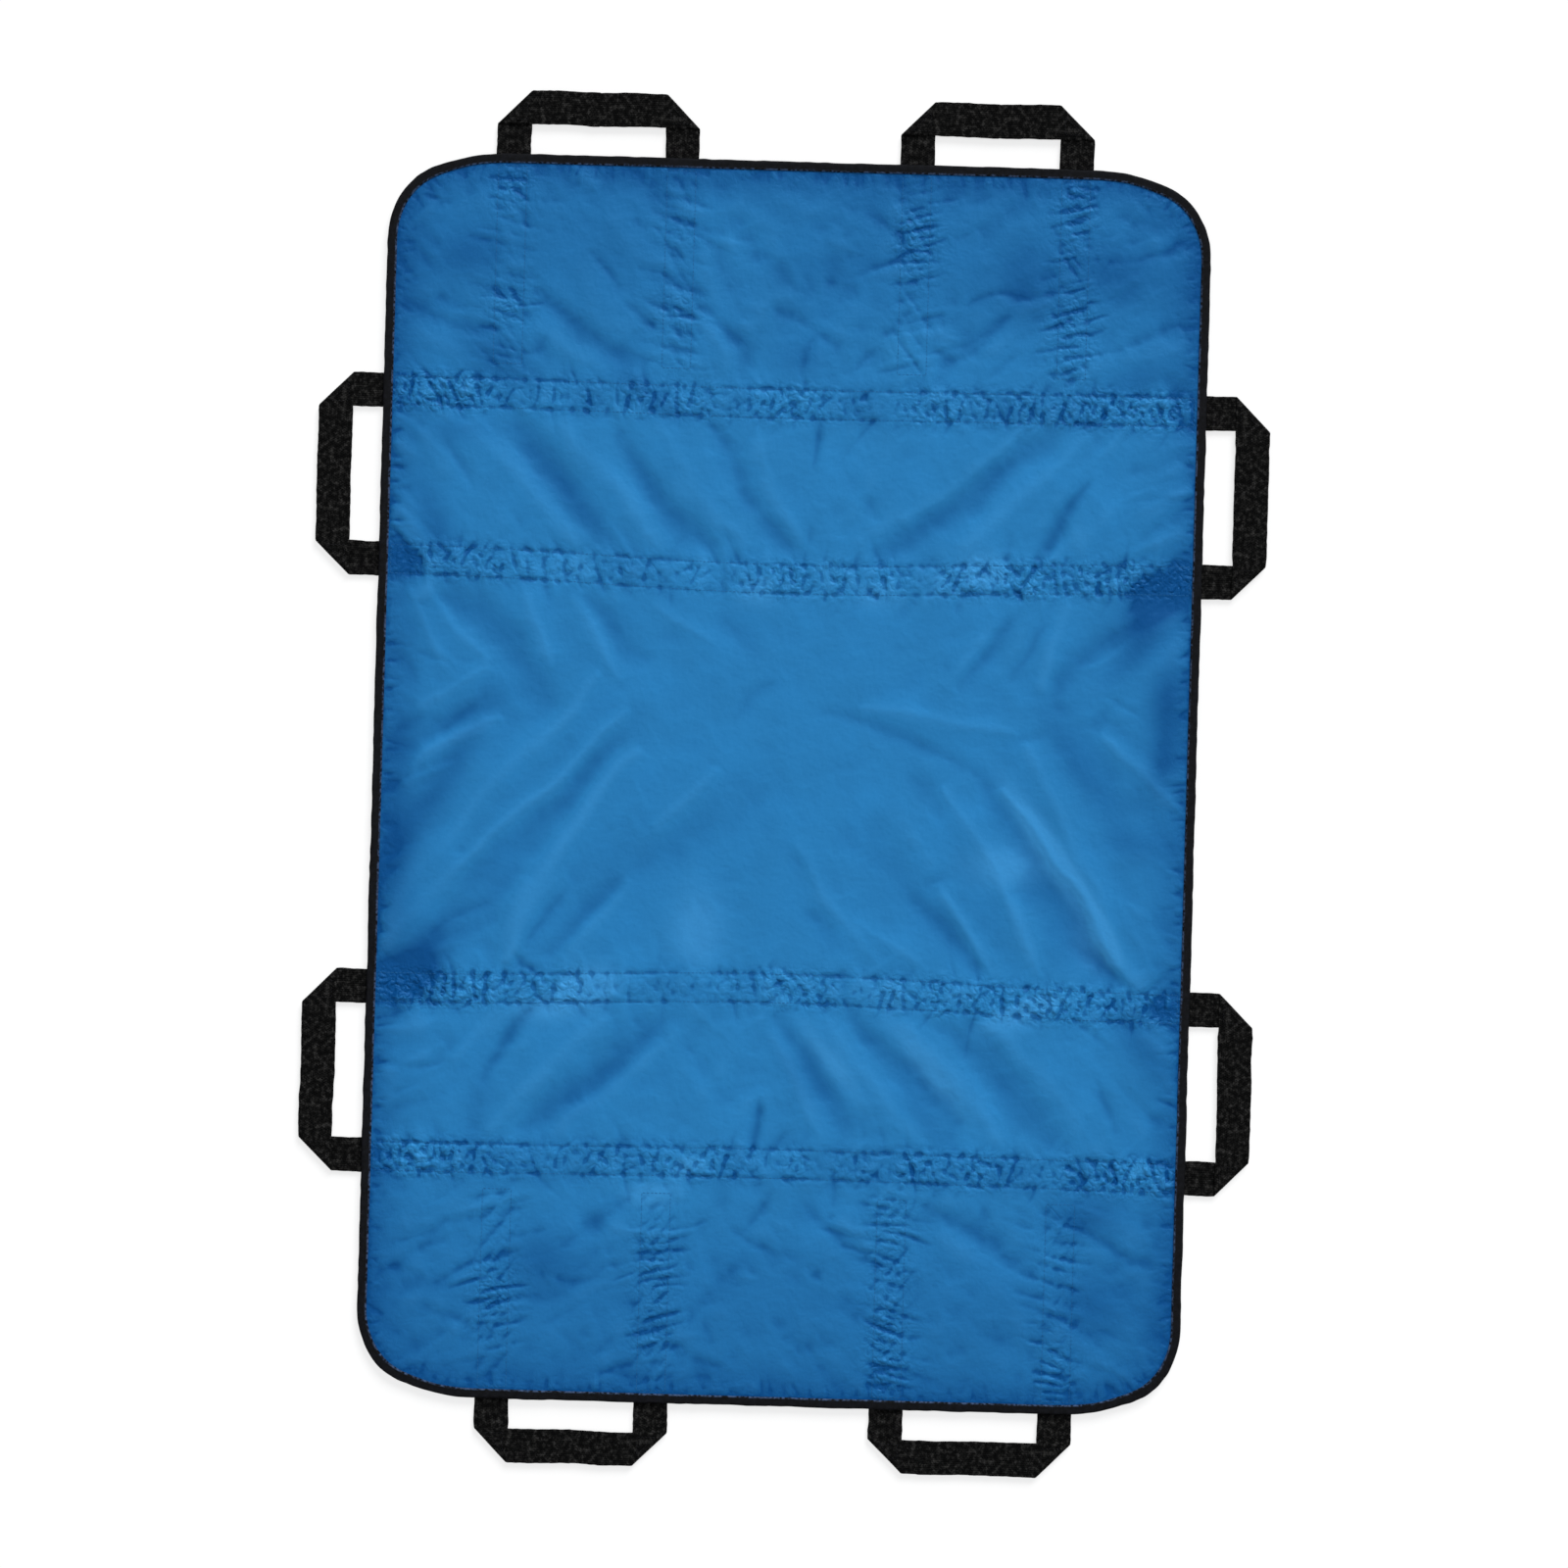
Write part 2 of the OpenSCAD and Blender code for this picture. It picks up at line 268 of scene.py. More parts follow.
class Field:
    """Heights over the pad, kept on a square grid. Folds that aren't straight follow its wandering path."""

    def __init__(self):
        columns = np.arange(-HALF_W, HALF_W + GRID, GRID)
        rows = np.arange(-HALF_L, HALF_L + GRID, GRID)
        self.x, self.y = np.meshgrid(columns, rows)
        self.z = np.zeros_like(self.x)
        self.path_x = self.x + self.wander(1)
        self.path_y = self.y + self.wander(3)

    def wander(self, seed):
        wide = 7 * noise(self.x / 60, self.y / 60, seed)
        return wide + 1.5 * noise(self.x / 25, self.y / 25, seed + 1)

    def press(self, x0, y0, x1, y1, half, height, bow=0.0, straight=False, fade=False):
        """Adds a fold from one point to another: a ridge, or a valley if height is less than nothing."""
        reach = 4 * half + 8 + 4 * abs(bow)
        part = (span(y0, y1, reach, HALF_L), span(x0, x1, reach, HALF_W))
        x, y = (self.x[part], self.y[part]) if straight else (self.path_x[part], self.path_y[part])
        dx, dy = x1 - x0, y1 - y0
        length = math.hypot(dx, dy)
        t = ((x - x0) * dx + (y - y0) * dy) / length**2
        side = ((x - x0) * dy - (y - y0) * dx) / length - 4 * bow * t * (1 - t)
        inside = np.clip(t, 0, 1)
        past = (t - inside) * length
        d = np.abs(side) / (half * (0.75 + inside * (1 - inside)))
        skirt = 1.0 if straight else 0.5
        ridge = skirt / (1 + d**2) ** 1.5 + (1 - skirt) * np.exp(-((d / 2.6) ** 2))
        valley = 0.85 * np.exp(-(d**2)) + 0.15 * np.exp(-1.6 * d)
        shape = ridge if height > 0 else valley
        taper = np.sin(np.pi * np.clip((t + 0.12) / 1.24, 0, 1)) ** 0.7
        if fade:
            taper = (1 - inside) ** 0.8
        self.z[part] += height * shape * taper * np.exp(-((past / max(2.5, 0.7 * half)) ** 2))


def sample(z, x, y):
    """Reads a grid of heights at any points, straight-line between its nodes."""
    u = np.clip((x + HALF_W) / GRID, 0, z.shape[1] - 1.001)
    v = np.clip((y + HALF_L) / GRID, 0, z.shape[0] - 1.001)
    i, j = u.astype(int), v.astype(int)
    f, g = u - i, v - j
    low = z[j, i] * (1 - f) + z[j, i + 1] * f
    high = z[j + 1, i] * (1 - f) + z[j + 1, i + 1] * f
    return low * (1 - g) + high * g


def spread(z, reach, combine):
    """Combines each value with its neighbours up to a reach in millimetres, one axis after the other."""
    steps = max(1, round(reach / GRID))
    for axis in (0, 1):
        padded = np.pad(z, [(steps, steps) if a == axis else (0, 0) for a in (0, 1)], mode="edge")
        size = z.shape[axis]
        z = combine([np.take(padded, range(k, k + size), axis) for k in range(2 * steps + 1)])
    return z


def blurred(z, reach):
    return spread(z, reach, lambda stack: sum(stack) / len(stack))


def lowest(z, reach):
    return spread(z, reach, lambda stack: np.min(stack, axis=0))


def strap_line(x, middle_y):
    """Where the middle of a cross strap lies: it is drawn in towards the pad's middle between its ends."""
    drawn_in = INNER_STRAP_BOW if abs(middle_y) < HALF_L / 2 else OUTER_STRAP_BOW
    reach = HALF_W - STUB
    return middle_y - np.sign(middle_y) * drawn_in * np.cos(np.pi * np.clip(x / (2 * reach), -0.5, 0.5)) ** 2


def along_seam(random, length, spacing):
    """Uneven places along a seam, from end to end."""
    places = []
    s = -length / 2 + spacing
    while s < length / 2:
        places.append(s)
        s += spacing * random.uniform(0.45, 1.7)
    return places


def cross_crease(field, random, place, s, half, height, reach, lean):
    """A valley across a seam with a ridge along one side of it."""
    low, high = -random.uniform(*reach), random.uniform(*reach)
    shift = random.normal(0, 2.5) + lean * (high - low)
    bow = random.normal(0, 1.5)
    side = random.choice((-1, 1))
    start, end = place(s - shift / 2, low), place(s + shift / 2, high)
    field.press(*start, *end, half, -height, bow, straight=True)
    s += side * 2.2 * half
    start, end = place(s - shift / 2, low + 3), place(s + shift / 2, high - 3)
    field.press(*start, *end, half, 0.6 * height, bow, straight=True)


def strap_patch(x, n):
    """How strongly a cross strap gathers the cloth at x: most at its ends, and unevenly between them."""
    uneven = 0.58 + 0.42 * noise(x / 75, n, 90) + 0.32 * noise(x / 24, n, 91)
    return np.clip(uneven + 0.6 * step(0.25, 0.90, np.abs(x) / HALF_W), 0.25, 1.4)


def gather_straps(field):
    """Puckers drawn up by the cross straps: creases across them, small ones between, and fans."""
    for n, middle_y in enumerate(STRAP_Y.values()):
        random = np.random.default_rng(40 + n)

        def place(s, v):
            return s, strap_line(s, middle_y) + v

        length = 2 * HALF_W - 24
        for s in along_seam(random, length, 17):
            deep = random.uniform(0.7, 2.0) * strap_patch(s, n)
            half = random.uniform(1.5, 2.6)
            cross_crease(field, random, place, s, half, deep, (5, 20), random.normal(0.1, 0.35))
        for s in along_seam(random, length, 5.5):
            middle = random.uniform(-15, 15)
            lean = random.normal(0, 0.9)
            cross_crease(field, random, lambda u, v: place(u, middle + v), s, random.uniform(1.4, 2.3),
                         random.uniform(0.6, 1.5) * strap_patch(s, n), (3, 9), lean)
        for sign in (-1, 1):
            for s in along_seam(random, length, 15):
                out = random.uniform(8, 60) * random.uniform(0.4, 1.0)
                shift = out * (random.normal(0, 0.5) + 0.8 * sign * s / HALF_W)
                deep = random.uniform(0.3, 1.1) * (0.9 if random.uniform() < 0.5 else -1)
                root, tip = place(s, sign * 14), place(s + shift, sign * (17 + out))
                half = random.uniform(2.0, 5.5)
                field.press(*root, *tip, half, deep, random.normal(0, 3), straight=True, fade=True)


def tail_patch(s, n):
    """How strongly a tail gathers the cloth at a distance along it."""
    return np.clip(0.6 + 1.1 * noise(s / 42 + 3 * n, 0.5, 130 + n), 0.15, 1.3)


def gather_tails(field):
    """Ladders of puckers across the sewn-down tails, deep in some places and faint in others."""
    for n, (*_, middle_x, near, far) in enumerate(TAILS):
        random = np.random.default_rng(80 + n)
        middle_y, length = (near + far) / 2, abs(far - near)
        tilt = 0.24 * np.sign(middle_x) * np.sign(near)

        for s in along_seam(random, length - 16, 6.5):
            aside = random.normal(0, 10)
            deep = random.uniform(0.5, 1.25) * tail_patch(s, n)
            cross_crease(field, random, lambda u, v: (middle_x + aside + v, middle_y + u), s,
                         random.uniform(1.6, 2.6), deep, (7, 25), tilt + random.normal(0, 0.12))
        for s in along_seam(random, length - 16, 14):
            aside = random.normal(0, 14)
            cross_crease(field, random, lambda u, v: (middle_x + aside + v, middle_y + u), s,
                         random.uniform(2.2, 4.5), random.uniform(0.3, 0.8), (12, 42), tilt)


def stray_wrinkle(field, x, y, slant, run, height, half, bow):
    field.press(x - run, y - slant * run, x + run, y + slant * run, half, height, bow, straight=True)


def wrinkle_margins(field):
    """Stray wrinkles: along the side edges they slant with the folds, in the end panels they lie flatter."""
    random = np.random.default_rng(11)
    for _ in range(90):
        x = random.choice((-1, 1)) * random.uniform(325, 418)
        y = random.uniform(-600, 600)
        slant = random.uniform(0.3, 1.1) * np.sign(x) * (1 if y > 95 else -1)
        run = random.uniform(12, 42)
        height = random.uniform(0.3, 0.9) * random.choice((-1, 1, 1))
        stray_wrinkle(field, x, y, slant, run, height, random.uniform(4, 10), random.normal(0, 4))
    for _ in range(170):
        x = random.uniform(-400, 400)
        y = random.choice((-1, 1)) * random.uniform(428, 628)
        slant = random.normal(0.3, 0.5) * np.sign(x) * np.sign(y)
        run = random.uniform(6, 30)
        height = random.uniform(0.3, 0.8) * random.choice((-1, 1))
        stray_wrinkle(field, x, y, slant, run, height, random.uniform(4, 11), random.normal(0, 3))


def gather_edges(field):
    """Short gathers square to the binding, all round the pad."""
    random = np.random.default_rng(7)
    points, outward = outline(0, 2.0)
    n = 0
    while n < len(points):
        start = random.uniform(5, 10)
        reach = start + random.uniform(7, 34) * random.uniform(0.5, 1.0)
        swing = random.normal(0, 0.18)
        ahead = np.array([-outward[n, 1], outward[n, 0]])
        tip = points[n] - outward[n] * reach + ahead * swing * reach
        root = points[n] - outward[n] * start
        deep = random.uniform(0.5, 1.6) * (0.75 if random.uniform() < 0.4 else -1.0)
        field.press(*root, *tip, random.uniform(1.5, 2.8), deep, 0.0, straight=True, fade=True)
        n += int(random.uniform(1.6, 4.6))


def stitch_groove(v, width):
    """The dents that the two thread rows of a strap pull, at v across it."""
    return -np.exp(-(((v - STITCH_ROW) / width) ** 2)) - np.exp(-(((v + STITCH_ROW) / width) ** 2))


def row_relief(x, y):
    """Thread rows pulled into the cloth, and small crumples between them."""
    z = np.zeros_like(x)
    for n, middle_y in enumerate(STRAP_Y.values()):
        v = y - strap_line(x, middle_y)
        z += np.clip(0.6 + 0.5 * noise(x / 17, 0, 70 + n), 0, 1) * stitch_groove(v, 1.4)
        bubbles = noise(x / 9, v / 8, 40 + n) + 0.8 * noise(x / 4.6 + 0.1 * v, v / 5.5, 44 + n)
        z += (0.25 + 0.6 * strap_patch(x, n)) * bubbles * np.exp(-((v / 21) ** 4))
        z += 0.5 * np.exp(-((v / 13) ** 4))
    for n, (*_, middle_x, near, far) in enumerate(TAILS):
        along = np.sign(near) * y
        v = x - middle_x
        on = step(abs(near), abs(near) + 20, along) * (1 - step(abs(far) - 30, abs(far) - 12, along))
        z += on * 0.1 * stitch_groove(v, 2.0)
        z += on * 0.6 * noise(along / 6.5 + 0.2 * v, v / 16, 120 + n) * np.exp(-((v / 24) ** 4))
    return z


def crumpled(x, y):
    """Where the cloth is finely crumpled, 0 to 1.5: over straps and tails, at the binding and in the ends."""
    inset, _ = edge_place(x, y)
    most = 0.45 * np.exp(-((inset / 22) ** 2))
    for n, middle_y in enumerate(STRAP_Y.values()):
        v = y - strap_line(x, middle_y)
        most = np.maximum(most, strap_patch(x, n) * np.exp(-((v / 22) ** 4)))
    for n, (*_, middle_x, near, far) in enumerate(TAILS):
        middle, length = (near + far) / 2, abs(far - near)
        on = 1 - step(length / 2 - 10, length / 2 + 10, np.abs(y - middle))
        most = np.maximum(most, 0.8 * on * tail_patch(y - middle, n) * np.exp(-(((x - middle_x) / 24) ** 2)))
    return most + 0.10 * step(400, 450, np.abs(y))


def soft_shades(x, y):
    """Sum of the painted shade patches at each point, less where a patch is painted light."""
    tone = np.zeros_like(x)
    for middle_x, middle_y, half_length, half_width, lean, strength in SHADES:
        a = math.radians(lean)
        along = ((x - middle_x) * math.cos(a) + (y - middle_y) * math.sin(a)) / half_length
        across = ((y - middle_y) * math.cos(a) - (x - middle_x) * math.sin(a)) / half_width
        tone += strength * np.exp(-(along**2) - across**2)
    return SHADE_GAIN * tone


def shadow_tone(x, y):
    """Painted shade beyond what the relief gives: near edges and ends, on straps, in patches (minus: painted
    light).
    """
    inset, _ = edge_place(x, y)
    far = np.abs(y) / HALF_L
    tone = 0.8 * np.exp(-inset / 34) + 0.44 * step(0.55, 0.90, far) * (1 - 0.4 * step(0.82, 0.95, far))
    for n, middle_y in enumerate(STRAP_Y.values()):
        v = y - strap_line(x, middle_y)
        outer = 0.20 if abs(middle_y) > HALF_L / 2 else 0.06
        uneven = outer + 0.16 * noise(x / 32, v / 40, 95 + n) + 0.10 * noise(x / 13, v / 14, 99 + n)
        tone += uneven * np.exp(-((v / 24) ** 4))
    return tone + soft_shades(x, y)


def edge_place(x, y):
    """Distance in from the pad's edge, and a distance along the edge that is different on each side."""
    over_x = np.abs(x) - (HALF_W - CORNER_R)
    over_y = np.abs(y) - (HALF_L - CORNER_R)
    corner = (over_x > 0) & (over_y > 0)
    angle = np.arctan2(np.maximum(over_y, 1e-6), np.maximum(over_x, 1e-6))
    inset = np.minimum(HALF_W - np.abs(x), HALF_L - np.abs(y))
    inset = np.where(corner, CORNER_R - np.hypot(np.maximum(over_x, 0), np.maximum(over_y, 0)), inset)
    straight = HALF_L - CORNER_R
    end_edge = straight + CORNER_R * np.pi / 2 + (HALF_W - CORNER_R - np.abs(x))
    side_edge = HALF_W - np.abs(x) < HALF_L - np.abs(y)
    along = np.where(corner, straight + angle * CORNER_R, np.where(side_edge, np.abs(y), end_edge))
    return inset, along + np.where(x > 0, 1300, 0) + np.where(y > 0, 2900, 0)


def outline(inset, spacing):
    """Points once round the pad at an inset, with their outward directions."""
    w, l, r = HALF_W - CORNER_R, HALF_L - CORNER_R, CORNER_R - inset
    centres = ((w, l), (-w, l), (-w, -l), (w, -l))
    points, outward = [], []
    for n, (cx, cy) in enumerate(centres):
        steps = max(2, round(CORNER_R * math.pi / 2 / spacing))
        for k in range(steps + 1):
            a = math.pi / 2 * (n + k / steps)
            points.append((cx + r * math.cos(a), cy + r * math.sin(a)))
            outward.append((math.cos(a), math.sin(a)))
        nx, ny = centres[(n + 1) % 4]
        run = math.hypot(nx - cx, ny - cy)
        a = math.pi / 2 * (n + 1)
        count = 2 * round(run / spacing / 2)
        for k in range(1, count):
            t = k / count
            points.append((cx + (nx - cx) * t + r * math.cos(a), cy + (ny - cy) * t + r * math.sin(a)))
            outward.append((math.cos(a), math.sin(a)))
    return np.array(points), np.array(outward)


def crumple(x, y):
    """Small random creases all over the cloth."""
    z = np.zeros_like(x)
    for size, height, seed in ((38, 0.7, 21), (21, 0.5, 22), (11, 0.26, 23)):
        z += height * (0.5 - np.abs(noise((x + 0.5 * y) / size, (y - 0.3 * x) / size, seed)))
    return z * (0.55 + 0.25 * step(225, 260, np.abs(y)) + 0.20 * step(400, 460, np.abs(y)))


def swell(x, y):
    """Soft swells between the folds. They run towards the pad's middle, as it sags between its sides."""
    inward = np.tanh((y - 95) / 60)
    across = y - 1.05 * inward * np.sqrt(x**2 + 900)
    run = np.abs(x) + 0.8 * inward * y
    bend = 12 * noise(across / 90, run / 120, 31)
    z = noise((across + bend) / 42, run / 150, 32) + 0.45 * noise((across - bend) / 22, run / 100, 33)
    between = 0.55 + 0.45 * np.exp(-(((np.abs(y) - 305) / 75) ** 4))
    middle = 1 - 0.7 * np.exp(-((x / 130) ** 2) - ((y / 110) ** 2))
    return 0.7 * z * between * middle * np.abs(inward)


def broad_folds():
    """Folds, swells and dips, without the puckers of the seams."""
    field = Field()
    shared = END_PANEL_FOLDS + STRAP_PANEL_FOLDS + INNER_FOLDS
    turned = tuple((-x0, -y0, -x1, -y1, *rest) for x0, y0, x1, y1, *rest in shared)
    for fold in shared + MIDDLE_FOLDS + turned:
        x0, y0, x1, y1, half, height, bow = fold
        share, sharp = 1.0, 1.0
        if fold in MIDDLE_FOLDS:
            share, sharp = 0.75, 0.85
        elif abs(y0) > 400:
            share = 0.88
        if height > 0:
            field.press(x0, y0, x1, y1, sharp * half, RIDGE_GAIN * share / sharp**2 * height, bow)
        else:
            field.press(x0, y0, x1, y1, VALLEY_WIDTH * half / share, VALLEY_GAIN * share * height, bow)
    x, y = field.x, field.y
    field.z += swell(x, y)
    inset, _ = edge_place(x, y)
    seams = sum(np.exp(-(((y - strap_line(x, middle)) / 26) ** 4)) for middle in STRAP_Y.values())
    field.z *= (1 - 0.7 * np.clip(seams, 0, 1)) * step(0, 30, inset)
    for dip_x, dip_y, depth in DIPS:
        field.z -= depth * np.exp(-(((x - dip_x) / 34) ** 2 + ((y - dip_y) / 22) ** 2))
    return field.z


def face_heights(broad):
    """Top of the face cloth: broad folds, seam puckers and edge gathers, pinched down at the binding."""
    field = Field()
    gather_straps(field)
    gather_tails(field)
    gather_edges(field)
    wrinkle_margins(field)
    x, y = field.x, field.y
    inset, along = edge_place(x, y)
    z = broad + field.z * step(2, 9, inset) + (row_relief(x, y) + crumple(x, y)) * step(3, 12, inset)
    z -= 1.5 * (1 - step(BINDING_W - 4, 60, inset)) - 0.2
    z = np.where(z > 0, RISE_LIMIT * np.tanh(z / RISE_LIMIT), SINK_LIMIT * np.tanh(z / SINK_LIMIT))
    rim = binding_top(along) - BINDING_T - 0.1
    z = rim + (FACE_BASE + z - rim) * step(BINDING_W - 1, BINDING_W + 5, inset)
    least = LEAST_FACE + 1.2 * (1 - step(18, 45, inset))
    return least + 0.25 * np.log1p(np.exp((z - least) / 0.25))


def binding_top(along):
    """Height of the binding's upper face at a distance along the edge."""
    return RIM_TOP + 0.25 * noise(along / 7, 0, 401) + 0.2 * noise(along / 19, 0, 402)


def back_heights(broad):
    """Underside of the back cloth: flat on the straps, slightly puckered between them."""
    field = Field()
    x, y = field.x, field.y
    inset, _ = edge_place(x, y)
    on_strap = np.zeros_like(x)
    for middle in STRAP_Y.values():
        beside = np.abs(y - strap_line(x, middle))
        on_strap = np.maximum(on_strap, 1 - step(WEB_W / 2 + 1, WEB_W / 2 + 22, beside))
    for *_, middle_x, near, _far in TAILS:
        beside = np.maximum(np.abs(x - middle_x) - WEB_W / 2, abs(near) - np.sign(near) * y)
        on_strap = np.maximum(on_strap, 1 - step(1, 20, beside))
    gather_edges(field)
    z = WEB_T + 0.5 + 0.3 * broad + 0.8 * crumple(x + 300, y) + 0.5 * field.z
    z = WEB_T + 0.3 + 1.2 * np.tanh((z - WEB_T - 0.3) / 1.2)
    z = z + (WEB_T + 0.05 - z) * on_strap
    rim = RIM_LOW + BINDING_T + 0.1
    return rim + (z - rim) * step(BINDING_W - 1, BINDING_W + 6, inset)


def near_fold(y):
    """1 in the strip that bends when the pad is folded, 0 away from it."""
    return 1 - step(FOLD_BEND + 2, FOLD_BEND + 10, np.abs(y))


BROAD = broad_folds()
FACE = face_heights(BROAD)
FACE_UNDER = blurred(lowest(FACE, 6.0), 3.0) - SHEET_T - 0.5 * near_fold(Field().y)
BACK = np.minimum(back_heights(BROAD), lowest(FACE_UNDER, 4.0) - SHEET_T - 0.5)


# ---------------------------------------------------------------- meshes

def slackened(x, y):
    """The y of points of the sheets and the binding, with the end edges drawn in beside the corners."""
    from_middle = (HALF_W - np.abs(x) - SLACK_FROM_SIDE) / SLACK_REACH
    return y - np.sign(y) * SLACK * np.exp(-(from_middle**2)) * step(HALF_L - 130, HALF_L - 10, np.abs(y))


def new_piece(name, verts, faces, uv=None):
    """A mesh object from points in millimetres, faces as an array of quads plus a list of others."""
    quads, others = faces
    mesh = bpy.data.meshes.new(name)
    mesh.vertices.add(len(verts))
    mesh.vertices.foreach_set("co", (np.asarray(verts) * MM).astype(np.float32).ravel())
    corners = [np.asarray(quads, np.int32).ravel()] + [np.asarray(face, np.int32) for face in others]
    sizes = np.concatenate([np.full(len(quads), 4), [len(face) for face in others]]).astype(np.int32)
    corners = np.concatenate(corners)
    mesh.loops.add(len(corners))
    mesh.loops.foreach_set("vertex_index", corners)
    mesh.polygons.add(len(sizes))
    mesh.polygons.foreach_set("loop_start", (np.cumsum(sizes) - sizes).astype(np.int32))
    mesh.polygons.foreach_set("use_smooth", np.full(len(sizes), True))
    mesh.update(calc_edges=True)
    if uv is not None:
        layer = mesh.uv_layers.new(name="Cloth")
        layer.data.foreach_set("uv", (np.asarray(uv)[corners] * MM).astype(np.float32).ravel())
    mesh.validate()
    piece = bpy.data.objects.new(name, mesh)
    bpy.context.scene.collection.objects.link(piece)
    return piece


def grid_quads(rows, columns, first=0, flip=False):
    """Quads of a grid of points stored row by row."""
    index = first + np.arange(rows * columns).reshape(rows, columns)
    quads = np.stack([index[:-1, :-1], index[:-1, 1:], index[1:, 1:], index[1:, :-1]], -1).reshape(-1, 4)
    return quads[:, ::-1] if flip else quads


def tube_quads(stations, around, closed=False):
    """Quads of a tube whose rings are stored one after another."""
    rings = np.arange(stations * around).reshape(stations, around)
    after = np.roll(rings, -1, axis=0)
    if not closed:
        rings, after = rings[:-1], after[:-1]
    left, right = np.roll(rings, -1, axis=1), np.roll(after, -1, axis=1)
    return np.stack([rings, left, right, after], -1).reshape(-1, 4)


def rounded_grid(cell, inset):
    """Points of a grid bent to the pad's rounded outline, moved in by inset. Rows are closer at the fold."""
    w, l, r = HALF_W - inset, HALF_L - inset, CORNER_R - inset
    columns, rows = 3 * round(2 * w / cell / 3) + 1, 3 * round(2 * l / cell / 3) + 1
    row = np.linspace(-l, l, rows)
    row = row * (1 - FOLD_DENSITY * np.exp(-((row / FOLD_DENSE_REACH) ** 2)))
    x, y = np.meshgrid(np.linspace(-w, w, columns), row)
    a = np.clip((np.abs(x) - (w - r)) / r, 0, 1)
    b = np.clip((np.abs(y) - (l - r)) / r, 0, 1)
    round_x = np.sign(x) * (w - r + r * a * np.sqrt(1 - b**2 / 2))
    round_y = np.sign(y) * (l - r + r * b * np.sqrt(1 - a**2 / 2))
    return np.where(a > 0, round_x, x), np.where(b > 0, round_y, y)


def border(index):
    """The indices round the outside of a grid, in order."""
    return np.concatenate([index[0, :-1], index[:-1, -1], index[-1, :0:-1], index[:0:-1, 0]])


def closed_sheet(name, x, y, top, low, coarse=3):
    """A closed cloth: a fine surface, a coarser one on its other side, and a rim between them."""
    fine_is_top = top.mean() > low.mean()
    rows, columns = x.shape
    fine = np.arange(rows * columns).reshape(rows, columns)
    small = (slice(None, None, coarse), slice(None, None, coarse))
    back = rows * columns + np.arange(x[small].size).reshape(x[small].shape)
    y = slackened(x, y)
    verts = np.concatenate([np.stack([x, y, top], -1).reshape(-1, 3),
                            np.stack([x[small], y[small], low[small]], -1).reshape(-1, 3)])
    quads = np.concatenate([grid_quads(rows, columns, 0, not fine_is_top),
                            grid_quads(*back.shape, rows * columns, fine_is_top)])
    outer, inner = border(fine), border(back)
    rim = []
    for n in range(len(inner)):
        run = [outer[(coarse * n + k) % len(outer)] for k in range(coarse + 1)]
        face = run[::-1] + [inner[n], inner[(n + 1) % len(inner)]]
        rim.append(face if fine_is_top else face[::-1])
    return new_piece(name, verts, (quads, rim), verts[:, :2])


# ---------------------------------------------------------------- sheets

FACE_CELL = 2.0
INNER_CELL = 4.0


def across_fold(piece):
    """Bakes the piece's placement into its mesh; the piece runs from the head half to the foot half across
    the fold line.
    """
    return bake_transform(piece)


def finish_piece(piece, material, nodes):
    piece.data.materials.append(material)
    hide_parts(*nodes)
    return piece


def both_halves(node):
    return [half + "_" + node for half in HALVES]


def store(piece, name, values):
    """Keeps one number per vertex for the material to read; later vertices get nothing."""
    attribute = piece.data.attributes.new(name, "FLOAT", "POINT")
    padded = np.zeros(len(piece.data.vertices), np.float32)
    padded[:values.size] = values.ravel()
    attribute.data.foreach_set("value", padded)


def make_face_sheet():
    x, y = rounded_grid(FACE_CELL, 2.0)
    z = sample(FACE, x, y)
    piece = closed_sheet("face_sheet", x, y, z, sample(FACE_UNDER, x, y))
    # depth, crease and hollow measure the relief; the material paints shade from them in low cloth, creases
    # and hollows, and a highlight on crests
    store(piece, "depth", FACE_BASE - z)
    gathered = crumpled(x, y)
    crease = sample(blurred(FACE, 4.5) - blurred(FACE, 1.5), x, y)
    store(piece, "crease", crease * np.clip(0.4 + 0.9 * gathered, 0, 1.1))
    store(piece, "hollow", sample(blurred(blurred(FACE, 14), 10) - blurred(FACE, 4.5), x, y))
    store(piece, "crumpled", gathered)
    # Painted shade, and painted light where the tone is minus, kept for the material to mix into the colour
    tone = shadow_tone(x, y)
    store(piece, "margin", np.maximum(tone, 0))
    store(piece, "sheen", np.maximum(-tone, 0))
    finish_piece(piece, nylon("face_nylon", FACE_BLUE), both_halves("face_sheet"))
    return across_fold(piece)


def make_back_sheet():
    x, y = rounded_grid(4.0, 2.0)
    z = sample(BACK, x, y)
    piece = closed_sheet("back_sheet", x, y, z, z + SHEET_T)
    finish_piece(piece, nylon("back_nylon", BACK_BLUE), both_halves("back_sheet"))
    return across_fold(piece)


def make_filling():
    """The absorbent core and the membrane under it, both hidden between the sheets."""
    x, y = rounded_grid(INNER_CELL, 2.4)
    middle = (sample(FACE_UNDER, x, y) + sample(BACK, x, y) + SHEET_T) / 2
    top = np.maximum(sample(lowest(FACE_UNDER, 4.5), x, y) - 0.2 - 0.8 * near_fold(y), middle + 0.12)
    low = np.minimum(sample(-lowest(-BACK, 4.5), x, y) + SHEET_T + 0.15, middle - 0.12)
    film_t = np.minimum(MEMBRANE_T, (top - low) / 3)
    core = closed_sheet("absorbent_core", x, y, top, low + 1.2 * film_t)
    finish_piece(core, felt(), both_halves("absorbent_core"))
    membrane = closed_sheet("waterproof_membrane", x, y, low, low + film_t)
    finish_piece(membrane, film(), both_halves("waterproof_membrane"))
    return across_fold(core), across_fold(membrane)


# ---------------------------------------------------------------- binding

